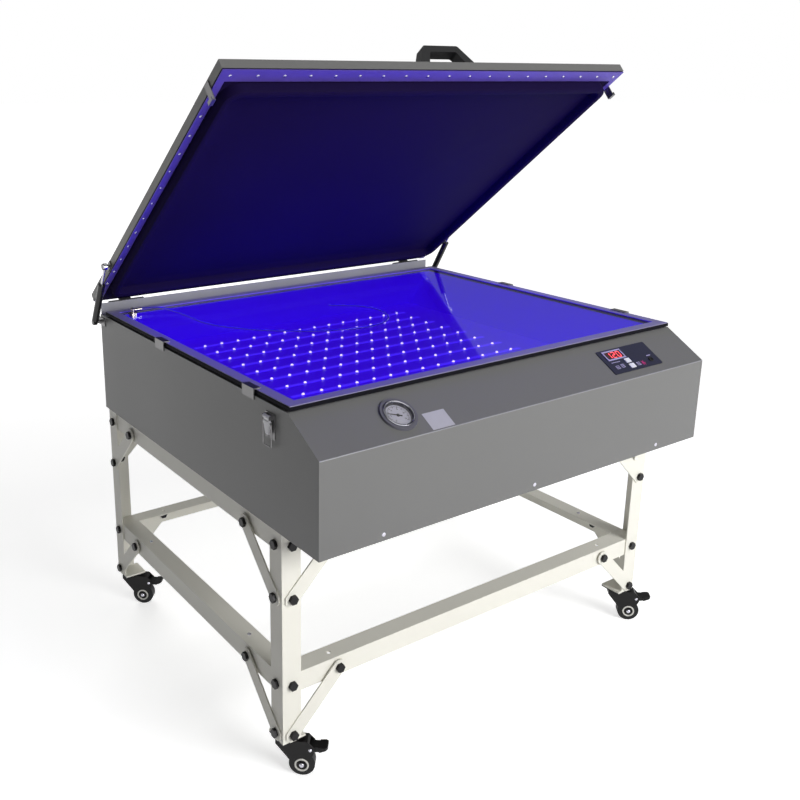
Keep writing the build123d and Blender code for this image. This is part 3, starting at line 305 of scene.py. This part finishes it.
floor_link(floor_seen.outputs["Is Glossy Ray"], floor_mirrored.inputs[1])
floor_link(floor_mirrored.outputs["Value"], floor_through.inputs[0])
floor_link(floor_seen.outputs["Is Transmission Ray"], floor_through.inputs[1])
floor_link(floor_through.outputs["Value"], floor_white.inputs[0])
floor_link(
    floor_white.outputs["Value"], floor_finish.node_tree.nodes["Principled BSDF"].inputs["Emission Strength"]
)
floor_data.materials.append(floor_finish)

# The room lights from eye level and overhead, little from the left. It looks plain white, and in gloss it is white
# at eye level, dim above that and soft overhead.
world = bpy.data.worlds.new("white studio")
bpy.context.scene.world = world
world.use_nodes = True
sky = world.node_tree
sky_side = add(sky, "ShaderNodeTexCoord")
sky_axes = add(sky, "ShaderNodeSeparateXYZ")
sky_height = add(sky, "ShaderNodeValToRGB")
stops = sky_height.color_ramp.elements
stops[-1].color = (0.48, 0.48, 0.48, 1)
for place, level in ((0.09, 1.0), (0.2, 0.12), (0.42, 0.2), (0.62, 0.48)):
    stops.new(place).color = (level, level, level, 1)
stops[0].color = (1, 1, 1, 1)
sky_left = add(sky, "ShaderNodeMapRange", From_Min=-0.3, From_Max=0.25, To_Min=0.12, To_Max=0.7)
sky_light = add(sky, "ShaderNodeMath", operation="MULTIPLY")
sky_rays = add(sky, "ShaderNodeLightPath")
sky_mirrored = add(sky, "ShaderNodeMath", operation="MAXIMUM")
sky_gloss = add(sky, "ShaderNodeMath", operation="MULTIPLY")
sky_most = [add(sky, "ShaderNodeMath", operation="MAXIMUM") for _ in range(2)]
sky.links.new(sky_side.outputs["Generated"], sky_axes.inputs["Vector"])
sky.links.new(sky_axes.outputs["Z"], sky_height.inputs["Fac"])
sky.links.new(sky_axes.outputs["X"], sky_left.inputs["Value"])
sky.links.new(sky_height.outputs["Color"], sky_light.inputs[0])
sky.links.new(sky_left.outputs["Result"], sky_light.inputs[1])
sky.links.new(sky_rays.outputs["Is Glossy Ray"], sky_mirrored.inputs[0])
sky.links.new(sky_rays.outputs["Is Transmission Ray"], sky_mirrored.inputs[1])
sky.links.new(sky_height.outputs["Color"], sky_gloss.inputs[0])
sky.links.new(sky_mirrored.outputs["Value"], sky_gloss.inputs[1])
sky.links.new(sky_light.outputs["Value"], sky_most[0].inputs[0])
sky.links.new(sky_gloss.outputs["Value"], sky_most[0].inputs[1])
sky.links.new(sky_most[0].outputs["Value"], sky_most[1].inputs[0])
sky.links.new(sky_rays.outputs["Is Camera Ray"], sky_most[1].inputs[1])
sky.links.new(sky_most[1].outputs["Value"], sky.nodes["Background"].inputs["Strength"])
sky.nodes["Background"].inputs["Color"].default_value = (1, 1, 1, 1)


def area_light(name, spot, aim, size, power, tone="#ffffff"):
    """A rectangular lamp at one point that faces another, unseen by the camera."""
    data = bpy.data.lights.new(name, "AREA")
    data.shape = "RECTANGLE"
    data.size, data.size_y = size
    data.energy = power
    data.color = colour(tone)[:3]
    made = bpy.data.objects.new(name, data)
    bpy.context.collection.objects.link(made)
    away = Vector(spot) - Vector(aim)
    made.matrix_world = at(*spot) @ away.to_track_quat("Z", "Y").to_matrix().to_4x4()
    made.visible_camera = False
    made.visible_transmission = False
    made.visible_glossy = name == "key"
    return made


area_light("key", (1.0, -4.4, 2.3), (0, 0, 0.6), (2.6, 2.0), 190)
area_light("rear fill", (0.4, 4.8, 2.6), (0, 0, 0.6), (3.0, 2.0), 85)
# The lamps' own violet light on the open lid and the frame's inner edges.
area_light("lamp glow", (0, y_front + 0.48, z_glass + 0.003), (0, y_front + 0.48, 2), (0.86, 0.66), 5.0, "#3a1cff")

# ------------------------------------------------------------------ view
bpy.context.scene.view_settings.view_transform = "Standard"
bpy.context.scene.view_settings.look = "None"

# ------------------------------------------------------------------ finishes of the solids
dress(
    surface("warm white powder coat", "#ebe9df", 0.42, mottle=0.03, grain=0.25, fine=700),
    "leg_front_left", "leg_front_right", "leg_rear_left", "leg_rear_right", "upper_rails", "lower_rails",
    "gusset_straps",
)
dress(
    surface("grey powder coat", "#6b6b6a", 0.38, mottle=0.04, grain=0.3, fine=650),
    "cabinet_shell", "rear_panel", "base_panel", "lid_shell",
)
dress(
    surface("black oxide steel", "#1b1a1c", 0.38, metal=0.6, mottle=0.2, patch=60, grain=0.15, fine=1500),
    "frame_bolts",
)
dress(
    surface("zinc plated steel", "#7c7b7c", 0.36, metal=0.9, mottle=0.1, patch=70, grain=0.08, fine=1800),
    "latch_plates", "glass_clips", "latch_loop_left", "latch_loop_right", "lid_catches", "strut_box_studs",
    "strut_lid_studs",
)
dress(
    surface("bright pressed steel", "#f0f0f4", 0.35, metal=0.0, mottle=0.06, patch=60, grain=0.05, fine=1800),
    "latch_lever_left", "latch_lever_right",
)
dress(
    surface("dull hinge steel", "#6f6e70", 0.5, metal=0.5, mottle=0.15, patch=60, grain=0.1, fine=1800),
    "hinge_base_leaves", "hinge_lid_leaves",
)
dress(
    surface("black stove enamel", "#100f10", 0.36, mottle=0.15, patch=40, grain=0.1, fine=1200,
            Specular_IOR_Level=0.25),
    "castor_plates", *["castor_fork_" + k for k in ("front_left", "front_right", "rear_left", "rear_right")],
    *["castor_pedal_" + k for k in ("front_left", "front_right", "rear_left", "rear_right")],
)
dress(
    surface("black polyurethane tyre", "#141416", 0.5, mottle=0.12, patch=50, grain=0.2, fine=900,
            Specular_IOR_Level=0.3),
    *["castor_wheel_" + k for k in ("front_left", "front_right", "rear_left", "rear_right")],
)
# The frame's grey paint is tinted violet: painted lamp light.
dress(
    surface("grey painted frame", "#85809e", 0.4, mottle=0.05, grain=0.15, fine=900),
    "glass_frame",
)
dress(surface("black foam seal", "#0e0d14", 0.85, mottle=0.2, patch=90, grain=0.6, fine=2500), "frame_seal")
# The white reflector and lamp board are coloured violet and glow: painted lamp light, not lamps.
dress(
    surface("violet-lit white reflector", "#3208dc", 0.4, mottle=0.12, patch=3, grain=0.05,
            Emission_Color=colour("#3a06dc"), Emission_Strength=0.8),
    "light_liner", "lamp_board",
)
dress(
    surface("cast pump body", "#4c4d50", 0.5, metal=0.4, mottle=0.15, patch=30, grain=0.5, fine=800),
    "vacuum_pump", "power_supply",
)
dress(surface("grey gauge case", "#5d5c66", 0.35, mottle=0.1, patch=60, grain=0.1), "gauge_case")
dress(surface("black needle paint", "#0b0b0b", 0.5, mottle=0.1, patch=200, grain=0.02), "gauge_needle")
dress(surface("navy membrane panel", "#0f1233", 0.3, mottle=0.06, patch=25, grain=0.1, fine=1500), "control_panel")
dress(surface("dark red display filter", "#3a0b12", 0.15, mottle=0.1, patch=40, grain=0.0), "display_window")
dress(surface("white key rubber", "#e6e6ec", 0.5, mottle=0.04, patch=90, grain=0.2, fine=2000), "key_upper", "key_lower")
dress(surface("nickel plated brass", "#a9a49a", 0.25, metal=1.0, mottle=0.08, patch=90, grain=0.05), "suction_nozzle")
# The grey steel strips are coloured violet: painted lamp light.
dress(surface("grey steel strip", "#5a48a4", 0.5, metal=0.2, mottle=0.08, patch=20, grain=0.15), "clamp_strips")
dress(surface("black moulded grip", "#111113", 0.4, mottle=0.15, patch=50, grain=0.4, fine=1600), "handle")
dress(surface("black strut paint", "#121214", 0.2, mottle=0.08, patch=40, grain=0.05), "strut_cylinder_left", "strut_cylinder_right")
dress(
    surface("polished rod chrome", "#cfcfd2", 0.12, metal=1.0, mottle=0.04, patch=60, grain=0.01),
    "strut_rod_left", "strut_rod_right",
)
glass_finish = surface(
    "clear float glass", "#f4f7ff", 0.02, mottle=0.01, grain=0.0, Transmission_Weight=1.0, IOR=1.3,
)
dress(glass_finish, "glass")
dress(surface("clear gauge lens", "#ffffff", 0.02, mottle=0.01, grain=0.0, Transmission_Weight=1.0, IOR=1.35), "gauge_lens")

# ------------------------------------------------------------------ lamp strips
# Eleven printed strips, each with its row of domed lamps, on the lamp board.
strip_low, strip_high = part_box("lamp_strips")
strips, lamps_per_strip, strip_wide, lamp_pitch = 11, 14, 0.010, 0.045
strip_top = strip_low[2] + 0.0008
strip_pitch = (strip_high[1] - strip_low[1] - strip_wide) / (strips - 1)
strip_mesh = bmesh.new()
lamp_mesh = bmesh.new()
dome = [(0.0, 0.0030), (0.0017, 0.0026), (0.0028, 0.0016), (0.0033, 0.0), (0.0, 0.0)]
for row in range(strips):
    y = strip_low[1] + strip_wide / 2 + row * strip_pitch
    block(strip_mesh, (strip_high[0] * 2, strip_wide, 0.0008), at(0, y, strip_low[2] + 0.0004))
    for k in range(lamps_per_strip):
        lathe(lamp_mesh, dome, at((k - (lamps_per_strip - 1) / 2) * lamp_pitch, y, strip_top), steps=12)
# The white strip boards are coloured violet and glow: painted lamp light.
strip_piece = piece(
    "lamp_strip_boards", strip_mesh, "cabinet",
    surface("lamp strip in violet light", "#4a28f5", 0.4, mottle=0.2, patch=60, Emission_Color=colour("#4a24f2"),
            Emission_Strength=1.1),
    smooth=0,
)
lamp_piece = piece(
    "lamp_domes", lamp_mesh, "cabinet", glow("lit ultraviolet lamp", "#f3dcff", 1.7, mottle=0.02, grain=0.0),
)
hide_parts("lamp_strips")
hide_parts("lamp_strips")

# ------------------------------------------------------------------ rubber blanket
# A black sheet stretched under the lid, sagging a little, with the rounded bead that seals on the frame.
sheet_half, sheet_front, sheet_rear = 0.506, -0.827, 0.003
bead_half, bead_front, bead_rear, bead_radius = 0.487, -0.793, -0.040, 0.034
bead_wide, bead_low, sheet_low, sheet_high = 0.018, -0.0107, 0.010, 0.012


def rounded_loop(mesh, half, front, rear, radius, height, per_corner=8):
    """A ring of points on a rounded rectangle, corner by corner."""
    ring = []
    for cx, cy, start in (
        (half - radius, rear - radius, 0),
        (radius - half, rear - radius, pi / 2),
        (radius - half, front + radius, pi),
        (half - radius, front + radius, 3 * pi / 2),
    ):
        for k in range(per_corner):
            angle = start + k / (per_corner - 1) * pi / 2
            ring.append(mesh.verts.new((cx + radius * cos(angle), cy + radius * sin(angle), height)))
    return ring


def skin(mesh, rings):
    """Faces between each ring of points and the next."""
    for one, two in zip(rings, rings[1:]):
        for k in range(len(one)):
            mesh.faces.new((one[k - 1], one[k], two[k], two[k - 1]))


blanket_mesh = bmesh.new()
bead_shape = [
    (0.0, sheet_low),
    (0.0004, bead_low + 0.006),
    (0.0025, bead_low + 0.0015),
    (0.006, bead_low),
    (0.012, bead_low),
    (0.0155, bead_low + 0.0015),
    (0.0176, bead_low + 0.006),
    (0.018, sheet_low - 0.0015),
    (0.021, sheet_low),
]
rings = [rounded_loop(blanket_mesh, sheet_half, sheet_front, sheet_rear, 0.002, sheet_low)]
for inward, height in bead_shape:
    rings.append(
        rounded_loop(
            blanket_mesh,
            bead_half - inward,
            bead_front + inward,
            bead_rear - inward,
            max(0.008, bead_radius - inward),
            height,
        )
    )
for inward, sag in ((0.06, 0.0006), (0.12, 0.0018), (0.19, 0.0032), (0.26, 0.0042), (0.33, 0.0048)):
    rings.append(
        rounded_loop(
            blanket_mesh, bead_half - inward, bead_front + inward, bead_rear - inward, 0.01, sheet_low - sag
        )
    )
skin(blanket_mesh, rings)
blanket_mesh.faces.new(rings[-1])
back_ring = rounded_loop(blanket_mesh, sheet_half, sheet_front, sheet_rear, 0.002, sheet_high)
skin(blanket_mesh, [rings[0], back_ring])
blanket_mesh.faces.new(back_ring)
bmesh.ops.transform(blanket_mesh, matrix=lid, verts=blanket_mesh.verts)
# Black rubber, with a dark violet tint that is painted lamp light.
blanket = piece(
    "blanket_sheet", blanket_mesh, "lid",
    surface("black silicone rubber", "#170e33", 0.75, mottle=0.12, patch=4, grain=0.15, fine=500,
            Specular_IOR_Level=0.04),
)
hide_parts("blanket")

# The lamps' light that the blanket throws back onto the frame and the slope. It moves with the lid.
bounce_low, bounce_middle = 0.001, -0.42
bounce_spot = lid @ Vector((0, bounce_middle, bounce_low))
bounce = area_light("lid bounce", bounce_spot, lid @ Vector((0, bounce_middle, -1)), (0.8, 0.6), 6.0, "#5a3cff")
bounce.parent = blanket

# ------------------------------------------------------------------ frame edging
# A thin black skin round the glass frame's outer side, which keeps that side dark, and the frame's inner edge with a
# painted violet glow for the lamps' light.
edge_low, edge_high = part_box("glass_frame")
edge_thick, edge_clear, lip_wide = 0.0012, 0.0016, 0.022
edge_tall = edge_high[2] - edge_clear - edge_low[2]
edge_x, edge_middle = edge_high[0], (edge_low[1] + edge_high[1]) / 2
edge_long = edge_high[1] - edge_low[1]
edging = bmesh.new()
lit_edge = bmesh.new()
for side in (-1, 1):
    block(
        edging, (edge_thick, edge_long + 2 * edge_thick, edge_tall),
        at(side * (edge_x + edge_thick / 2), edge_middle, edge_low[2] + edge_tall / 2), 0.0004,
    )
    block(
        edging, (2 * edge_x, edge_thick, edge_tall),
        at(0, edge_middle + side * (edge_long + edge_thick) / 2, edge_low[2] + edge_tall / 2), 0.0004,
    )
    block(
        lit_edge, (0.0006, edge_long - 2 * lip_wide, edge_high[2] - z_glass),
        at(side * (edge_x - lip_wide - 0.0003), edge_middle, (edge_high[2] + z_glass) / 2),
    )
    block(
        lit_edge, (2 * (edge_x - lip_wide), 0.0006, edge_high[2] - z_glass),
        at(0, edge_middle + side * (edge_long / 2 - lip_wide - 0.0003), (edge_high[2] + z_glass) / 2),
    )
piece(
    "frame_edging", edging, "cabinet",
    surface("black edging rubber", "#0b0a12", 0.7, mottle=0.15, patch=60, grain=0.3, fine=1500,
            Specular_IOR_Level=0.1),
)
# The inner edge glows violet: painted lamp light, not a lamp.
piece(
    "frame_lit_edge", lit_edge, "cabinet", glow("violet-lit frame edge", "#5a48b4", 0.35, mottle=0.08, patch=6),
    smooth=0,
)

# ------------------------------------------------------------------ front fold
# A thin rod along the fold between the front and the slope, paler than the cabinet: a painted highlight for the light
# the rounded fold catches.
fold_mesh = bmesh.new()
fold_round = [
    (0.0011 * cos(k * pi / 4), 0.0011 * sin(k * pi / 4)) for k in range(8)
]
for x in (-half_width + 0.0005, half_width - 0.0005):
    ring = [fold_mesh.verts.new((x, y_front + 0.0008 + y, z_box + front_height - 0.0004 + z)) for y, z in fold_round]
    fold_mesh.faces.new(ring)
fold_mesh.verts.ensure_lookup_table()
for k in range(8):
    one, two = k, (k + 1) % 8
    fold_mesh.faces.new([fold_mesh.verts[i] for i in (one, two, two + 8, one + 8)])
piece(
    "front_fold", fold_mesh, "cabinet",
    surface("pale worn paint edge", "#8f8f93", 0.3, mottle=0.1, patch=30, grain=0.1),
)

# ------------------------------------------------------------------ rear upstand
# A pale strip of sheet steel, folded up along the deck's rear edge in front of the hinges.
upstand_mesh = bmesh.new()
upstand_thick, upstand_top, upstand_y = 0.0014, 0.766, 0.4350
block(
    upstand_mesh, (2 * (half_width - 0.002), upstand_thick, upstand_top - z_deck),
    at(0, upstand_y, (upstand_top + z_deck) / 2), 0.0004,
)
piece(
    "rear_upstand", upstand_mesh, "cabinet",
    surface("galvanised sheet steel", "#93939a", 0.45, metal=0.0, mottle=0.08, patch=20, grain=0.1),
)

# ------------------------------------------------------------------ clamp screws
# Small pan heads along the front and side strips that hold the blanket.
screw_steel = surface("bright screw steel", "#c9c8d2", 0.25, metal=0.9, mottle=0.08, patch=300, grain=0.02)
screw_profile = [(0.0, 0.0016), (0.0018, 0.0014), (0.0030, 0.0006), (0.0032, 0.0), (0.0, 0.0)]
screw_mesh = bmesh.new()
under = Matrix.Rotation(pi, 4, "X")
strip_under = 0.0085
for k in range(19):
    spot = at(-0.486 + k * 0.054, lid_front + 0.016, strip_under)
    lathe(screw_mesh, screw_profile, lid @ spot @ under, steps=12)
for side in (-1, 1):
    for k in range(14):
        spot = at(side * 0.4985, lid_front + 0.070 + k * 0.056, strip_under)
        lathe(screw_mesh, screw_profile, lid @ spot @ under, steps=12)
piece("clamp_screws", screw_mesh, "lid", screw_steel)

# ------------------------------------------------------------------ gauge dial
# White dial with a scale of marks and figures from 0 to 10, and a bright bezel ring.
gauge_x, gauge_up, dial_radius, z_dial = -0.305, 0.051, 0.024, -0.002
gauge = slope @ at(gauge_x, gauge_up, 0)
dial_mesh = bmesh.new()
lathe(dial_mesh, [(0.0014, z_dial + 0.0003), (dial_radius - 0.0003, z_dial + 0.0003)], gauge, steps=48)
# The dial glows faintly: painted light for what reaches it through the lens.
piece(
    "gauge_dial", dial_mesh, "cabinet", glow("pale enamel dial", "#d2d0e0", 0.12, mottle=0.04, patch=90, grain=0.05),
)
mark_mesh = bmesh.new()
scale_start, scale_sweep = radians(-45), radians(270)
for k in range(51):
    long = 0.0042 if k % 5 == 0 else 0.0022
    wide = 0.0007 if k % 5 == 0 else 0.0003
    angle = scale_start + scale_sweep * k / 50
    spot = gauge @ Matrix.Rotation(angle, 4, "Z") @ at(dial_radius - 0.003 - long / 2, 0, z_dial + 0.0004)
    block(mark_mesh, (long, wide, 0.0001), spot)
piece("gauge_marks", mark_mesh, "cabinet", bpy.data.materials["black needle paint"], smooth=0)

bezel_mesh = bmesh.new()
lathe(
    bezel_mesh,
    [(0.0262, 0.0052), (0.0268, 0.0064), (0.0280, 0.0068), (0.0292, 0.0062), (0.0296, 0.0052)],
    gauge,
    steps=56,
)
piece(
    "gauge_bezel", bezel_mesh, "cabinet",
    surface("chromed bezel", "#b6b6bd", 0.15, metal=1.0, mottle=0.1, patch=60, grain=0.02),
)
figures_mesh = bmesh.new()
for k in range(6):
    text_data = bpy.data.curves.new("dial figure", "FONT")
    text_data.body = str(2 * k)
    text_data.size = 0.0052
    text_data.align_x, text_data.align_y = "CENTER", "CENTER"
    text_data.resolution_u = 2
    text = bpy.data.objects.new("dial figure", text_data)
    bpy.context.collection.objects.link(text)
    flat = bpy.data.meshes.new_from_object(text)
    angle = radians(225) - scale_sweep * k / 5
    reach = dial_radius - 0.0098
    flat.transform(gauge @ at(reach * cos(angle), reach * sin(angle), z_dial + 0.0005))
    figures_mesh.from_mesh(flat)
    bpy.data.objects.remove(text)
    bpy.data.curves.remove(text_data)
    bpy.data.meshes.remove(flat)
piece(
    "gauge_figures", figures_mesh, "cabinet", bpy.data.materials["black needle paint"], smooth=0,
)

# ------------------------------------------------------------------ blank sticker
# A bare silver sticker beside the gauge.
sticker_mesh = bmesh.new()
block(sticker_mesh, (0.050, 0.038, 0.0002), slope @ at(-0.235, 0.022, 0.0001))
piece(
    "blank_sticker", sticker_mesh, "cabinet",
    surface("silver foil sticker", "#b5b4bb", 0.4, metal=0.1, mottle=0.05, patch=60, grain=0.05), smooth=0,
)

# ------------------------------------------------------------------ control panel
# A pale frame round the red figures, the printed key symbols, and the small sensor hole at the right.
panel_top = 0.0016
panel_pale = surface("pale lilac print", "#a9a2c8", 0.4, mottle=0.05, patch=120, grain=0.05)
pale_mesh = bmesh.new()
display_x, display_up, display_wide, display_high, border = 0.274, 0.066, 0.052, 0.022, 0.0032
for side in (-1, 1):
    block(
        pale_mesh, (display_wide + border, border, 0.0012),
        slope @ at(display_x, display_up + side * display_high / 2, panel_top + 0.0006), 0.0003,
    )
    block(
        pale_mesh, (border, display_high, 0.0012),
        slope @ at(display_x + side * display_wide / 2, display_up, panel_top + 0.0006), 0.0003,
    )
for x, up, wide in ((0.256, 0.034, 0.009), (0.272, 0.035, 0.008), (0.318, 0.031, 0.009)):
    for k in (-1, 0, 1):
        block(pale_mesh, (wide, 0.0014, 0.0002), slope @ at(x, up + k * 0.0036, panel_top + 0.0001))
    for side in (-1, 1):
        block(pale_mesh, (0.0012, 0.0086, 0.0002), slope @ at(x + side * wide / 2, up, panel_top + 0.0001))
block(pale_mesh, (0.012, 0.0022, 0.0002), slope @ at(0.363, 0.045, panel_top + 0.0001))
block(pale_mesh, (0.026, 0.0016, 0.0002), slope @ at(0.262, 0.0475, panel_top + 0.0001))
piece("panel_print", pale_mesh, "cabinet", panel_pale, smooth=0)

star_mesh = bmesh.new()
for k in range(3):
    turn = Matrix.Rotation(k * pi / 3, 4, "Z")
    block(star_mesh, (0.013, 0.0012, 0.0002), slope @ at(0.332, 0.030, panel_top + 0.0001) @ turn)
# The start symbol's print glows a little: painted light.
piece(
    "panel_start_print", star_mesh, "cabinet", glow("magenta print", "#b3266e", 0.3, mottle=0.05), smooth=0,
)
sensor_mesh = bmesh.new()
lathe(
    sensor_mesh,
    [(0.0, 0.0004), (0.0035, 0.0004), (0.0038, 0.0018), (0.0056, 0.0018), (0.0060, 0.0)],
    slope @ at(0.360, 0.034, panel_top),
    steps=28,
)
piece(
    "panel_sensor_ring", sensor_mesh, "cabinet", bpy.data.materials["black needle paint"]
)

# Three figures of seven bars each.
bars = {
    "top": (0, 1, 1), "middle": (0, 0, 1), "bottom": (0, -1, 1),
    "upper_left": (-1, 0.5, 0), "upper_right": (1, 0.5, 0), "lower_left": (-1, -0.5, 0), "lower_right": (1, -0.5, 0),
}
lit_bars = {
    "1": ("upper_right", "lower_right"),
    "2": ("top", "upper_right", "middle", "lower_left", "bottom"),
    "0": ("top", "bottom", "upper_left", "upper_right", "lower_left", "lower_right"),
}
figure_mesh = bmesh.new()
figure_half_wide, figure_half_high = 0.0042, 0.0072
for place, figure in enumerate("120"):
    middle = display_x + (place - 1) * 0.0145
    for bar in lit_bars[figure]:
        across, up, lies = bars[bar]
        size = (0.0072, 0.0019, 0.0003) if lies else (0.0019, 0.0060, 0.0003)
        spot = at(middle + across * figure_half_wide, display_up + up * figure_half_high, 0.0021)
        block(figure_mesh, size, slope @ spot)
piece(
    "display_figures", figure_mesh, "cabinet", glow("lit red figures", "#ff4a55", 1.6, mottle=0.02, grain=0.0),
    smooth=0,
)

# ------------------------------------------------------------------ cabinet screws
# Bright pan heads along the front's lower edge and black ones on the rear panel.
head_profile = [(0.0, 0.0022), (0.0022, 0.0020), (0.0038, 0.0010), (0.0041, 0.0), (0.0, 0.0)]
head_mesh = bmesh.new()
flat_profile = [(0.0, 0.0010), (0.0022, 0.0009), (0.0038, 0.0005), (0.0041, 0.0), (0.0, 0.0)]
for x in (-0.366, 0.0, 0.366):
    lathe(head_mesh, flat_profile, at(x, y_front, z_box + 0.012) @ Matrix.Rotation(pi / 2, 4, "X"), steps=14)
piece("front_screws", head_mesh, "cabinet", screw_steel)
facing_rear = Matrix.Rotation(-pi / 2, 4, "X")
y_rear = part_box("rear_panel")[1][1] - 0.002
rear_mesh = bmesh.new()
for x in (-0.484, -0.24, 0.0, 0.24, 0.484):
    for z in (z_box + 0.012, z_deck - 0.060):
        lathe(rear_mesh, head_profile, at(x, y_rear, z) @ facing_rear, steps=14)
piece("rear_screws", rear_mesh, "cabinet", bpy.data.materials["black oxide steel"])

# ------------------------------------------------------------------ vent filters
# Black open-cell foam glued behind the rear panel's vents, which keeps dust and the lamps' light in.
filter_mesh = bmesh.new()
filter_thick, panel_sheet = 0.005, 0.0015
for side in (-1, 1):
    block(
        filter_mesh, (0.104, filter_thick, 0.078),
        at(side * 0.300, y_rear - panel_sheet - filter_thick / 2, z_box + 0.130), 0.0008,
    )
piece(
    "vent_filters", filter_mesh, "cabinet",
    surface("black filter foam", "#0c0c0d", 0.9, mottle=0.4, patch=700, grain=1.0, fine=1200, Specular_IOR_Level=0.1),
)

# ------------------------------------------------------------------ shelf screws
# Two pale heads on the flange of each side rail, where a shelf would be screwed down.
shelf_mesh = bmesh.new()
rail_low, rail_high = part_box("lower_rails")
for side in (-1, 1):
    for y in (rail_low[1] + 0.155, rail_high[1] - 0.155):
        lathe(shelf_mesh, head_profile, at(side * (rail_high[0] - 0.020), y, rail_high[2]), steps=14)
piece("shelf_screws", shelf_mesh, "cabinet", screw_steel)

# ------------------------------------------------------------------ hinge screws
# Countersunk bright heads on the hinge leaves.
leaf_mesh = bmesh.new()
leaf_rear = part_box("hinge_base_leaves")[1][1]
for middle in (-0.430, 0.430):
    for across in (-0.030, 0.0, 0.030):
        lathe(
            leaf_mesh, screw_profile, at(middle + across, y_rear + 0.002, z_deck - 0.032) @ facing_rear, steps=12
        )
piece("hinge_screws", leaf_mesh, "cabinet", screw_steel)

# ------------------------------------------------------------------ mains inlet pins
# Three blades inside the inlet's cavity.
inlet_mesh = bmesh.new()
for across, up, size in ((-0.007, -0.002, (0.002, 0.014, 0.004)), (0.007, -0.002, (0.002, 0.014, 0.004)), (0, 0.004, (0.002, 0.014, 0.004))):
    block(inlet_mesh, size, at(0.380 + across, y_rear - 0.014, z_box + 0.045 + up), 0.0003)
piece("inlet_blades", inlet_mesh, "cabinet", screw_steel, smooth=0)

# ------------------------------------------------------------------ castor rings and rivets
# On each cheek of a fork: a pale ring round the axle, the axle's bright cap and the brake pedal's rivet.
wheel_spot = {j["child"]: j["pos_m"] for j in frame["joints"] if j["name"].endswith("_roll")}
ring_grey = surface("pale nylon ring", "#dcdad4", 0.45, mottle=0.05, patch=80, grain=0.1)
cheek_out = 0.0135
for joint in frame["joints"]:
    if not joint["name"].endswith("_brake"):
        continue
    fork = joint["parent"]
    pin, axle = Vector(joint["pos_m"]), Vector(joint["axis"]).normalized()
    hub = Vector(wheel_spot[fork.replace("fork", "wheel")])
    rivet_mesh = bmesh.new()
    ring_mesh = bmesh.new()
    for side in (-1, 1):
        turn = (side * axle).to_track_quat("Z", "Y").to_matrix().to_4x4()
        out = side * axle * cheek_out
        lathe(
            rivet_mesh, [(0.0, 0.0014), (0.0022, 0.0012), (0.0034, 0.0), (0.0, 0.0)], at(*(pin + out)) @ turn, steps=16
        )
        lathe(
            rivet_mesh,
            [(0.0, 0.0022), (0.0026, 0.0019), (0.0044, 0.0004), (0.0046, 0.0), (0.0, 0.0)],
            at(*(hub + side * axle * (cheek_out + 0.002))) @ turn,
            steps=20,
        )
        lathe(
            ring_mesh,
            [(0.0138, -0.0002), (0.0136, 0.0010), (0.0122, 0.0014), (0.0106, 0.0010), (0.0104, -0.0002)],
            at(*(hub + out)) @ turn,
            steps=32,
        )
    piece(fork + "_rivets", rivet_mesh, fork, screw_steel)
    piece(fork + "_ring", ring_mesh, fork, ring_grey)

# ------------------------------------------------------------------ handle screws
# Socket heads that hold the handle's feet to the lid.
grip_mesh = bmesh.new()
for side in (-1, 1):
    spot = lid @ at(side * 0.0625, -0.814, lid_top + 0.006) @ Matrix.Rotation(side * radians(32), 4, "Y")
    lathe(grip_mesh, [(0.0, 0.003), (0.0026, 0.003), (0.0028, 0.0042), (0.0045, 0.0042), (0.0048, 0.0), (0.0, 0.0)], spot, steps=20)
piece("handle_screws", grip_mesh, "lid", bpy.data.materials["black oxide steel"])
